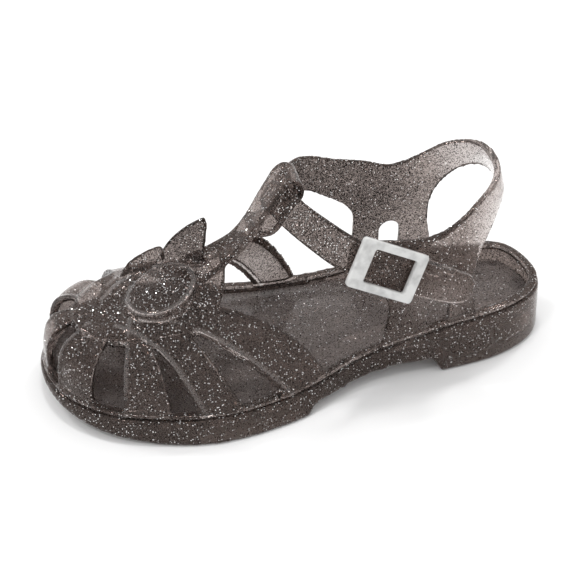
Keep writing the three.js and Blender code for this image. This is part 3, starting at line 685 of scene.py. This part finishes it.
# Round ridge over the forefoot's surface along a line in plan, with its ends drawn in
def ridge(plan, rises, radius):
    centres = []
    for (x, y), rise in zip(plan, rises):
        along = float(share_of(x / (1 - 2 * DOME_INSET / SOLE_LENGTH)))
        point, normal = dome_above(min(along, TOE_TIP), y)
        centres.append(point + normal * (rise - radius * RIDGE_SINK))
    centres = np.array(centres)
    # The ridge's centre line gets a painted highlight line.
    painted_highlight_lines.extend(centres)
    run = unit(np.gradient(centres, axis=0))
    side = unit(np.cross(run, (0, 0, 1)))
    face = np.cross(side, run)
    left = np.linspace(1, 0, len(centres))
    width = radius * np.minimum(1, RIDGE_TAPER * (left + RIDGE_POINT))[:, None, None]
    a = np.linspace(0, 2 * np.pi, RIDGE_SIDES, endpoint=False)
    section = np.cos(a)[None, :, None] * side[:, None] + np.sin(a)[None, :, None] * face[:, None]
    return tube("ridge", centres[:, None] + width * section)


# Rolled lip along the front edge of a band, from the rim up over the plate towards the disc
def lip(rim, aim, share):
    at = np.linspace(LIP_FROM, share, 40)
    over_plate = np.clip((at - LIP_PLATE_FROM) / LIP_PLATE_RAMP, 0, 1)
    return ridge(rim + (aim - rim) * at[:, None], PLATE_RISE * over_plate, LIP_RADIUS)


# Raised edges of the petals on the plate: shares of the length and, to the side, of the ball width
PETAL_EDGES = [
    [(0.8, -0.188), (0.81, -0.132), (0.817, -0.096), (0.844, -0.068), (0.875, -0.008)],
    [(0.889, -0.13), (0.903, -0.096), (0.919, -0.052)],
    [(0.75, -0.139), (0.757, -0.047), (0.745, 0.015)],
]


def make_petal_edges():
    pieces = []
    for row in PETAL_EDGES:
        plan = through([(float(place_x(along)), aside * BALL_WIDTH) for along, aside in row], 30)
        pieces.append(ridge(plan, np.full(len(plan), PLATE_RISE), PETAL_RADIUS))
    return pieces


def make_lips():
    pieces = []
    for row in BANDS:
        for side in row["sides"]:
            aim = np.array([float(place_x(row["aim"][1])), CENTRE_LINE])
            pieces.append(lip(rim_point(side, row["rim"][1]), aim, row["lip"]))
    return pieces


def make_disc():
    profile = [(0, -DISC_SINK), (DISC_RADIUS, -DISC_SINK), (DISC_RADIUS, DISC_RISE * DISC_EDGE)]
    for a in np.linspace(0, np.pi / 2, 14)[1:]:
        profile.append((DISC_RADIUS * (DISC_SHOULDER + (1 - DISC_SHOULDER) * math.cos(a)),
                        DISC_RISE * (DISC_EDGE + (DISC_LEVEL - DISC_EDGE) * math.sin(a))))
    for r in np.linspace(DISC_SHOULDER, 0, 12)[1:]:
        bulge = (1 - DISC_LEVEL) * (1 - (r / DISC_SHOULDER) ** 2)
        profile.append((DISC_RADIUS * r, DISC_RISE * (DISC_LEVEL + bulge)))
    point, normal = dome_above(DISC_ALONG, DISC_ASIDE)
    turn = np.array(Vector((0, 0, 1)).rotation_difference(Vector(normal)).to_matrix())
    a = np.linspace(0, 2 * np.pi, DISC_SIDES, endpoint=False)

    def placed(radius, up):
        ring = np.stack([radius * np.cos(a), radius * np.sin(a), np.full(DISC_SIDES, up)], -1)
        return ring @ turn.T + point

    # A ring near the disc's rim gets a painted highlight line.
    painted_highlight_lines.extend(placed(DISC_RADIUS * DISC_HIGHLIGHT_AT, DISC_RISE * DISC_HIGHLIGHT_UP))
    rings = [placed(radius, up) for radius, up in profile]
    return make_object("disc", np.concatenate(rings), between_rings(len(rings), DISC_SIDES))


def make_leaf(row):
    root, bulge, tip = (to_place(row[name]) for name in ("root", "bulge", "tip"))
    across = np.array(row["across"]) * LEAF_HALF
    face = unit(np.cross(tip - root, across))
    t = np.linspace(0, 1, 40)[:, None]
    v = np.linspace(-1, 1, 24)[None, :]
    wide = (1 - t**LEAF_POINT) ** LEAF_FULL + LEAF_TIP
    spine = (1 - t)[..., None] ** 2 * root + 2 * ((1 - t) * t)[..., None] * bulge + t[..., None] ** 2 * tip
    cup = v * v * LEAF_THICKNESS * LEAF_CUP * wide
    blade = spine + (v * wide)[..., None] * across
    half = LEAF_THICKNESS / 2
    return wall_solid("leaf", blade + (cup + half)[..., None] * face, blade + (cup - half)[..., None] * face)


# Flat strap with softened edges through stations of centre and half width vector
def ribbon(name, centres, halves, thickness):
    count = len(centres)
    ahead = centres[np.minimum(np.arange(count) + 1, count - 1)]
    behind = centres[np.maximum(np.arange(count) - 1, 0)]
    wide = np.linalg.norm(halves, axis=1)
    side = unit(halves)
    face = unit(np.cross(ahead - behind, side))
    flat = np.maximum(wide - STRAP_CORNER, wide * LEAST_FLAT)
    deep = thickness / 2
    shallow = deep - STRAP_CORNER
    section = [(flat, -deep), (wide, -shallow), (wide, shallow), (flat, deep),
               (-flat, deep), (-wide, shallow), (-wide, -shallow), (-flat, -deep)]
    return tube(name, np.stack([centres + side * a[:, None] + face * b for a, b in section], 1))


def make_ankle_strap():
    count = ANKLE_STRAP_STEPS
    centres = through([to_place(row[0]) for row in ANKLE_STRAP], count)
    halves = eased([row[1] for row in ANKLE_STRAP], count) * ANKLE_STRAP_HALF
    tail = slice(round(count * TAIL_FROM), count)
    # Both edges of the strap's tail get painted highlight lines.
    for side in (-1, 1):
        painted_highlight_lines.extend(centres[tail] + halves[tail] * side)
    return ribbon("ankle_strap", centres, halves, STRAP_THICKNESS)


def make_instep_strap():
    count = INSTEP_STRAP_STEPS
    fold = round(count * FOLD_SHARE)
    centres = through([to_place(row[0]) for row in INSTEP_STRAP], count)
    halves = eased([(0, row[1] * INSTEP_STRAP_HALF, 0) for row in INSTEP_STRAP], count)
    rising = ribbon("rising", centres[:fold + 1], halves[:fold + 1], UPPER_WALL)
    returning = ribbon("returning", centres[fold - 1:], halves[fold - 1:], UPPER_WALL)
    return [rising, returning]


# Rear of the last as a surface: angle round the ankle and height
def ankle_point(angle, up):
    rear = ANKLE_REAR + (up - ANKLE_REAR_HEIGHT) * ANKLE_LEAN
    middle = (rear + ANKLE_FRONT) / 2
    power = 2 / ANKLE_SQUARENESS
    c = np.cos(angle)
    s = np.sin(angle)
    x = middle + (ANKLE_FRONT - rear) / 2 * np.sign(c) * np.abs(c) ** power
    side = np.where(s >= 0, 1, -1)
    collar = side * np.where(s >= 0, COLLAR_OUTER, COLLAR_INNER) * np.abs(s) ** power
    along = share_of(x)
    rim = np.where(s >= 0, half_width(1, along) - DOME_INSET, -(half_width(-1, along) - DOME_INSET))
    t = np.clip((up - BLEND_FROM) / BLEND_HEIGHT, 0, 1)
    blend = t * t * (3 - 2 * t)
    return np.stack([x, (1 - blend) * rim + blend * collar, up + 0 * x], -1)


def side_edge(rows):
    points = [(float(place_x(along)), up * COLLAR_HEIGHT) for along, up in rows]
    return through(points, len(rows) * 8)


def arch_window(row):
    centre = float(place_x(row["along"]))
    half = ARCH_WINDOW_WIDTH / 2
    top = row["up"] * COLLAR_HEIGHT - half
    outline = [(centre + half * math.cos(a), top + half * math.sin(a)) for a in np.linspace(0, math.pi, 24)]
    foot = float(height("top", row["along"]))
    outline += [(centre - half, foot), (centre + half, foot)]
    start, end = (0, BALL_WIDTH) if row["side"] > 0 else (-BALL_WIDTH, 0)
    return side_prism("window", outline, start, end)


def make_rear_cage():
    angles = np.linspace(ANKLE_FROM, 2 - ANKLE_FROM, 170) * np.pi
    levels = np.linspace(BLEND_FROM - 3, COLLAR_HEIGHT + 3, 60)
    outer_side = np.concatenate([side_edge(OUTER_REAR_EDGE), side_edge(COLLAR_EDGE + OUTER_FRONT_EDGE)])
    inner_side = np.concatenate([side_edge(INNER_REAR_EDGE), side_edge(COLLAR_EDGE + INNER_TOP_EDGE),
                                 side_edge(INNER_FRONT_EDGE)])
    halves = []
    for outline, start, end in ((outer_side, -0.5, BALL_WIDTH), (inner_side, -BALL_WIDTH, 0.5)):
        wall = wall_solid("wall", moved_grid(ankle_point, angles, levels, 0),
                          moved_grid(ankle_point, angles, levels, -UPPER_WALL))
        halves.append(combine(wall, side_prism("kept", outline, start, end), "INTERSECT"))
    for window, half in zip(ARCH_WINDOWS, halves):
        combine(half, arch_window(window), "DIFFERENCE")
    return halves


def make_ring():
    outer = ring_stack("ring", [lifted_ring(RING_INSET, ring_underside),
                                lifted_ring(RING_INSET, lambda along: height("top", along))])
    inset = RING_INSET + BASE_RING
    inner = ring_stack("hole", [lifted_ring(inset, lambda along: ring_underside(along) - 1),
                                lifted_ring(inset, lambda along: height("top", along) + 1)])
    return combine(outer, inner, "DIFFERENCE")


# Plane of the buckle: X runs back along the strap, Z outward, and its origin lies clear of the strap's face
def buckle_plane():
    run = to_place(ANKLE_STRAP[BUCKLE_ROW + 1][0]) - to_place(ANKLE_STRAP[BUCKLE_ROW][0])
    turn = Matrix.Rotation(-math.atan2(run[2], run[0]), 4, "Y")
    turn = turn @ Matrix.Rotation(math.radians(-90 - BUCKLE_TILT), 4, "X")
    outward = turn.to_3x3() @ Vector((0, 0, 1))
    centre = Vector(to_place(ANKLE_STRAP[BUCKLE_ROW][0])) + outward * (STRAP_THICKNESS / 2 + CLEARANCE)
    return np.array(Matrix.Translation(centre) @ turn)


def in_buckle_plane(points):
    plane = buckle_plane()
    return np.asarray(points, float) @ plane[:3, :3].T + plane[:3, 3]


def pillar(x, y, radius, start, end):
    a = np.linspace(0, 2 * np.pi, PILLAR_SIDES, endpoint=False)
    levels = ((radius, start), (radius, end - radius * PILLAR_BEVEL), (radius * (1 - PILLAR_BEVEL), end))
    rings = [np.column_stack([x + r * np.cos(a), y + r * np.sin(a), np.full(len(a), z)]) for r, z in levels]
    return tube("pillar", [in_buckle_plane(ring) for ring in rings])


def buckle_seats():
    bar = (FRAME_WIDTH - SIDE_BAR) / 2
    foot = -STRAP_THICKNESS - UPPER_WALL
    return [
        pillar(FRAME_LENGTH * POST_PLACE, bar, POST_RADIUS, foot, -CLEARANCE),
        pillar(FRAME_LENGTH * POST_PLACE, -bar, POST_RADIUS, foot, -CLEARANCE),
        pillar(0, 0, PEG_RADIUS, -STRAP_THICKNESS, PEG_RISE - CLEARANCE),
    ]


def make_upper():
    pieces = [make_ring()]
    pieces += make_cage()
    pieces += make_lips()
    pieces += make_petal_edges()
    pieces.append(make_disc())
    pieces += [make_leaf(row) for row in LEAVES]
    pieces += make_instep_strap()
    pieces += make_rear_cage()
    pieces.append(make_ankle_strap())
    pieces += buckle_seats()
    whole = joined("upper_body", pieces)
    mould(whole, UPPER_SKIN, UPPER_SOFTENING)
    above = ring_stack("above", [lifted_ring(-BAND_OVERHANG, up) for up in (ring_underside, CUT_HIGH)])
    return combine(whole, above, "INTERSECT")


# Buckle frame: a rounded bar swept round the window, wider at the front
def make_buckle():
    section_steps = 20
    corner_steps = 10

    def corners(x0, x1, half, radius):
        points = []
        for cx, cy, start in ((x1 - radius, -half + radius, -90), (x1 - radius, half - radius, 0),
                              (x0 + radius, half - radius, 90), (x0 + radius, -half + radius, 180)):
            for a in np.radians(np.linspace(start, start + 90, corner_steps)):
                points.append((cx + radius * math.cos(a), cy + radius * math.sin(a)))
        return np.array(points)

    half_length = FRAME_LENGTH / 2
    outer = corners(-half_length, half_length, FRAME_WIDTH / 2, OUTER_CORNER)
    inner = corners(-half_length + FRONT_BAR, half_length - REAR_BAR, FRAME_WIDTH / 2 - SIDE_BAR,
                    INNER_CORNER)
    a = np.linspace(0, 2 * np.pi, section_steps, endpoint=False)
    across = np.sign(np.cos(a)) * np.abs(np.cos(a)) ** BAR_ROUNDNESS
    up = np.sign(np.sin(a)) * np.abs(np.sin(a)) ** BAR_ROUNDNESS
    rings = []
    for cos_share, sin_share in zip(across, up):
        flat = outer + (inner - outer) * (1 - cos_share) / 2
        rings.append(np.column_stack([flat, np.full(len(flat), FRAME_THICKNESS * (1 + sin_share) / 2)]))
    count = len(outer)
    faces = []
    for k in range(section_steps):
        for i in range(count):
            j = (i + 1) % count
            m = (k + 1) % section_steps
            faces.append((k * count + i, k * count + j, m * count + j, m * count + i))
    return make_object("buckle_bars", in_buckle_plane(np.concatenate(rings)), faces)


# Materials

DARK_FLAKE = (0.012, 0.01, 0.009)
# The upper's tint follows the glitter share: nearly clear at the lowest share for painted highlight lines,
# deep smoke at high shares for painted shade.
UPPER_LOOK = {
    "tint": [(0.08, (0.93, 0.92, 0.915)), (0.28, (0.66, 0.61, 0.59)), (0.45, (0.38, 0.33, 0.31)),
             (0.75, (0.27, 0.23, 0.215))],
    "smoke": (0.56, 0.46, 0.42),
    "density": 90,
    "clear": 0.94,
    "roughness": 0.08,
    "sheen": (0.65, 0.5, 0.44),
    "flake_size": 0.34,
    "flake_tones": [(0, DARK_FLAKE), (0.42, DARK_FLAKE), (0.48, (0.06, 0.05, 0.046)),
                    (0.86, (0.13, 0.115, 0.108)), (0.92, (0.9, 0.9, 0.9))],
    "flake_tilt": 0.9,
}
SOLE_LOOK = {**UPPER_LOOK, "tint": [(0, (0.3, 0.25, 0.23))], "clear": 0.9}
BED_LOOK = {**UPPER_LOOK, "tint": [(0, (0.56, 0.5, 0.48))], "clear": 0.82, "roughness": 0.15}


def new_material(name):
    material = bpy.data.materials.new(name)
    material.use_nodes = True
    return material, material.node_tree.nodes, material.node_tree.links


# How much of the surface the glitter covers, which also sets how deep the upper's tint is: crowded with a
# deeper tint as painted shade on the inner quarter, sparse with a lighter tint on the heel strap
GLITTER_AND_PAINTED_LIGHT = "glitter"
UPPER_GLITTER = 0.45
SOLE_GLITTER = 0.45
BED_GLITTER = 0.34
# Glitter share and reach of the painted highlight lines along raised edges
HIGHLIGHT_LINE_GLITTER = 0.06
HIGHLIGHT_LINE_REACH = 1.2
GLITTER_AND_SHADE_PLACES = [
    {"at": (-22, -24, 48), "reach": 28, "change": 0.45},
    {"at": (-70, 8, 52), "reach": 24, "change": -0.34},
    {"at": (-68, -12, 62), "reach": 20, "change": -0.2},
    {"at": (-2, 18, 60), "reach": 18, "change": 0.35},
    {"at": (14, -28, 25), "reach": 18, "change": -0.1},
    {"at": (32, 0, 56), "reach": 16, "change": 0.3},
    {"at": (40, 18, 38), "reach": 18, "change": 0.2},
    {"at": (-4, -18, 63), "reach": 20, "change": 0.35},
    {"at": (-43, 26, 33), "reach": 16, "change": -0.22},
    {"at": (50, 6, 34), "reach": 26, "change": 0.2},
    {"at": (82, 12, 14), "reach": 22, "change": 0.2},
]


def spread_glitter_and_painted_light(piece, level, places, highlight_places):
    mesh = piece.data
    points = np.empty(len(mesh.vertices) * 3)
    mesh.vertices.foreach_get("co", points)
    points = points.reshape(-1, 3) / MM
    share = np.full(len(points), float(level))
    # Each place raises or lowers the share; where it is raised, the deeper tint is painted shade.
    for row in places:
        away = np.linalg.norm(points - row["at"], axis=1) / row["reach"]
        share += row["change"] * np.clip(1 - away**2, 0, 1)
    # Near the painted highlight lines the share drops almost to nothing, which leaves a lighter tint and few
    # flakes there.
    if len(highlight_places):
        tree = KDTree(len(highlight_places))
        for i, point in enumerate(highlight_places):
            tree.insert(point, i)
        tree.balance()
        away = np.array([tree.find(point)[2] for point in points])
        share += (HIGHLIGHT_LINE_GLITTER - share) * np.clip((HIGHLIGHT_LINE_REACH - away) / (HIGHLIGHT_LINE_REACH * 0.4), 0, 1)
    layer = mesh.attributes.new(GLITTER_AND_PAINTED_LIGHT, "FLOAT", "POINT")
    layer.data.foreach_set("value", np.clip(share, 0.05, 0.9))


def set_ramp(node, stops):
    elements = node.color_ramp.elements
    while len(elements) > 1:
        elements.remove(elements[-1])
    elements[0].position = stops[0][0]
    elements[0].color = (*stops[0][1], 1)
    for position, colour in stops[1:]:
        elements.new(position).color = (*colour, 1)


# Clear plastic with glitter: each cell of a fine 3-D pattern that is chosen holds one tilted silver flake
def jelly_material(name, look):
    material, nodes, links = new_material(name)
    shader = nodes["Principled BSDF"]
    shader.inputs["Roughness"].default_value = look["roughness"]
    shader.inputs["IOR"].default_value = 1.5
    shader.inputs["Transmission Weight"].default_value = look["clear"]
    shader.inputs["Specular Tint"].default_value = (*look["sheen"], 1)

    def math_node(operation, a, b):
        node = nodes.new("ShaderNodeMath")
        node.operation = operation
        for socket, value in zip(node.inputs, (a, b)):
            if isinstance(value, bpy.types.NodeSocket):
                links.new(value, socket)
            else:
                socket.default_value = value
        return node.outputs["Value"]

    place = nodes.new("ShaderNodeTexCoord")
    flakes = nodes.new("ShaderNodeTexVoronoi")
    flakes.inputs["Scale"].default_value = 1 / (look["flake_size"] * MM)
    links.new(place.outputs["Object"], flakes.inputs["Vector"])
    split = nodes.new("ShaderNodeSeparateColor")
    links.new(flakes.outputs["Color"], split.inputs["Color"])
    crowd_and_painted_light = nodes.new("ShaderNodeAttribute")
    crowd_and_painted_light.attribute_name = GLITTER_AND_PAINTED_LIGHT
    chosen = math_node("LESS_THAN", split.outputs["Red"], crowd_and_painted_light.outputs["Fac"])
    near = math_node("LESS_THAN", flakes.outputs["Distance"], 0.5)
    mask = math_node("MULTIPLY", chosen, near)
    links.new(mask, shader.inputs["Metallic"])
    tone = nodes.new("ShaderNodeValToRGB")
    set_ramp(tone, look["flake_tones"])
    links.new(split.outputs["Green"], tone.inputs["Fac"])
    mix = nodes.new("ShaderNodeMix")
    mix.data_type = "RGBA"
    # The tint follows the glitter share, so places of painted shade get a deeper tint and painted highlight
    # lines a nearly clear one.
    depth = nodes.new("ShaderNodeValToRGB")
    set_ramp(depth, look["tint"])
    links.new(crowd_and_painted_light.outputs["Fac"], depth.inputs["Fac"])
    links.new(depth.outputs["Color"], mix.inputs[6])
    links.new(mask, mix.inputs[0])
    links.new(tone.outputs["Color"], mix.inputs[7])
    links.new(mix.outputs[2], shader.inputs["Base Color"])
    surface = nodes.new("ShaderNodeNewGeometry")
    lean = nodes.new("ShaderNodeVectorMath")
    lean.operation = "MULTIPLY_ADD"
    links.new(flakes.outputs["Color"], lean.inputs[0])
    lean.inputs[1].default_value = (2, 2, 2)
    lean.inputs[2].default_value = (-1, -1, -1)
    scaled = nodes.new("ShaderNodeVectorMath")
    scaled.operation = "SCALE"
    links.new(lean.outputs["Vector"], scaled.inputs[0])
    links.new(math_node("MULTIPLY", mask, look["flake_tilt"]), scaled.inputs["Scale"])
    total = nodes.new("ShaderNodeVectorMath")
    total.operation = "ADD"
    links.new(surface.outputs["Normal"], total.inputs[0])
    links.new(scaled.outputs["Vector"], total.inputs[1])
    facing = nodes.new("ShaderNodeVectorMath")
    facing.operation = "NORMALIZE"
    links.new(total.outputs["Vector"], facing.inputs[0])
    links.new(facing.outputs["Vector"], shader.inputs["Normal"])
    body = nodes.new("ShaderNodeVolumeAbsorption")
    body.inputs["Color"].default_value = (*look["smoke"], 1)
    body.inputs["Density"].default_value = look["density"]
    links.new(body.outputs["Volume"], nodes["Material Output"].inputs["Volume"])
    return material


def buckle_material():
    material, nodes, links = new_material("pale_plastic")
    shader = nodes["Principled BSDF"]
    shader.inputs["Roughness"].default_value = 0.22
    shader.inputs["Subsurface Weight"].default_value = 0.3
    shader.inputs["Subsurface Radius"].default_value = (0.002, 0.002, 0.002)
    shader.inputs["Coat Weight"].default_value = 0.4
    place = nodes.new("ShaderNodeTexCoord")
    cloud = nodes.new("ShaderNodeTexNoise")
    cloud.inputs["Scale"].default_value = 260
    cloud.inputs["Detail"].default_value = 3
    links.new(place.outputs["Object"], cloud.inputs["Vector"])
    ramp = nodes.new("ShaderNodeValToRGB")
    ramp.color_ramp.elements[0].position = 0.35
    ramp.color_ramp.elements[0].color = (0.46, 0.46, 0.455, 1)
    ramp.color_ramp.elements[1].position = 0.6
    ramp.color_ramp.elements[1].color = (0.64, 0.64, 0.63, 1)
    links.new(cloud.outputs["Fac"], ramp.inputs["Fac"])
    links.new(ramp.outputs["Color"], shader.inputs["Base Color"])
    return material


# Camera at the photograph's angle to the shoe
LENS = 111.93
VIEW_FROM = (0.189, 0.773, 0.606)
VIEW_TARGET = (2.32, -1.96, 25.84)
VIEW_DISTANCE = 596.18
VIEW_ROLL = 0.22


def make_camera(shift):
    data = bpy.data.cameras.new("view")
    data.lens = LENS
    data.sensor_width = 36
    camera = bpy.data.objects.new("view", data)
    bpy.context.scene.collection.objects.link(camera)
    back = Vector(VIEW_FROM).normalized()
    target = (Vector(VIEW_TARGET) + shift) * MM
    camera.location = target + back * VIEW_DISTANCE * MM
    camera.rotation_euler = (back.to_track_quat("Z", "Y").to_matrix()
                             @ Matrix.Rotation(math.radians(VIEW_ROLL), 3, "Z")).to_euler()
    bpy.context.scene.camera = camera


WORLD_LEVEL = 0.9
FLOOR_SIZE = 4
LIGHT_SIZE = (0.16, 0.16)
LIGHTS = [
    {"name": "left_back", "place": (0.7, -0.6, 1.0), "power": 2.6},
    {"name": "right_back", "place": (-0.6, -0.5, 1.1), "power": 2.6},
    {"name": "left_front", "place": (0.6, 0.5, 1.1), "power": 2.2},
    {"name": "top", "place": (0, -0.1, 1.3), "power": 2.6},
]


def make_light(name, place, target, size, power):
    data = bpy.data.lights.new(name, "AREA")
    data.shape = "RECTANGLE"
    data.size = size[0]
    data.size_y = size[1]
    data.energy = power
    lamp = bpy.data.objects.new(name, data)
    bpy.context.scene.collection.objects.link(lamp)
    lamp.location = place
    lamp.rotation_euler = (Vector(place) - Vector(target)).to_track_quat("Z", "Y").to_euler()


def make_stage():
    world = bpy.data.worlds.new("studio")
    world.use_nodes = True
    world.node_tree.nodes["Background"].inputs["Color"].default_value = (1, 1, 1, 1)
    world.node_tree.nodes["Background"].inputs["Strength"].default_value = WORLD_LEVEL
    bpy.context.scene.world = world
    bpy.context.scene.view_settings.view_transform = "Standard"
    bpy.ops.mesh.primitive_plane_add(size=FLOOR_SIZE)
    floor = bpy.context.object
    floor.name = "floor"
    material, nodes, _ = new_material("floor_white")
    nodes["Principled BSDF"].inputs["Base Color"].default_value = (0.92, 0.92, 0.92, 1)
    nodes["Principled BSDF"].inputs["Roughness"].default_value = 0.9
    floor.data.materials.append(material)
    for row in LIGHTS:
        make_light(row["name"], row["place"], (0, 0, 0.03), LIGHT_SIZE, row["power"])


def finish_piece(piece, node, material, shift):
    piece.data.transform(Matrix.Translation(shift * MM))
    piece.data.materials.clear()
    piece.data.materials.append(material)
    for face in piece.data.polygons:
        face.use_smooth = True
    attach(piece, "root")
    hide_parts(node)


sole = make_sole()
low = np.array([corner[:] for corner in sole.bound_box]).min(0)
high = np.array([corner[:] for corner in sole.bound_box]).max(0)
cad_low, cad_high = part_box("sole")
SHIFT = Vector([(cad_low[i] + cad_high[i]) / 2 / MM - (low[i] + high[i]) / 2 / MM for i in range(2)] + [0])
sole.name = "sole_body"
mould(sole, SOLE_SKIN, SOLE_SOFTENING)
footbed = make_footbed()
upper = make_upper()
buckle = make_buckle()
upper_jelly = jelly_material("smoky_jelly", UPPER_LOOK)
spread_glitter_and_painted_light(upper, UPPER_GLITTER, GLITTER_AND_SHADE_PLACES, painted_highlight_lines)
spread_glitter_and_painted_light(sole, SOLE_GLITTER, [], [])
spread_glitter_and_painted_light(footbed, BED_GLITTER, [], [])
sole_jelly = jelly_material("smoky_jelly_sole", SOLE_LOOK)
bed_jelly = jelly_material("smoky_jelly_bed", BED_LOOK)
finish_piece(sole, "sole", sole_jelly, SHIFT)
finish_piece(footbed, "footbed", bed_jelly, SHIFT)
finish_piece(upper, "upper", upper_jelly, SHIFT)
finish_piece(buckle, "buckle_frame", buckle_material(), SHIFT)
make_camera(SHIFT)
make_stage()
for piece in (sole, footbed, upper, buckle):
    print(piece.name, sum(len(face.vertices) - 2 for face in piece.data.polygons), "triangles")
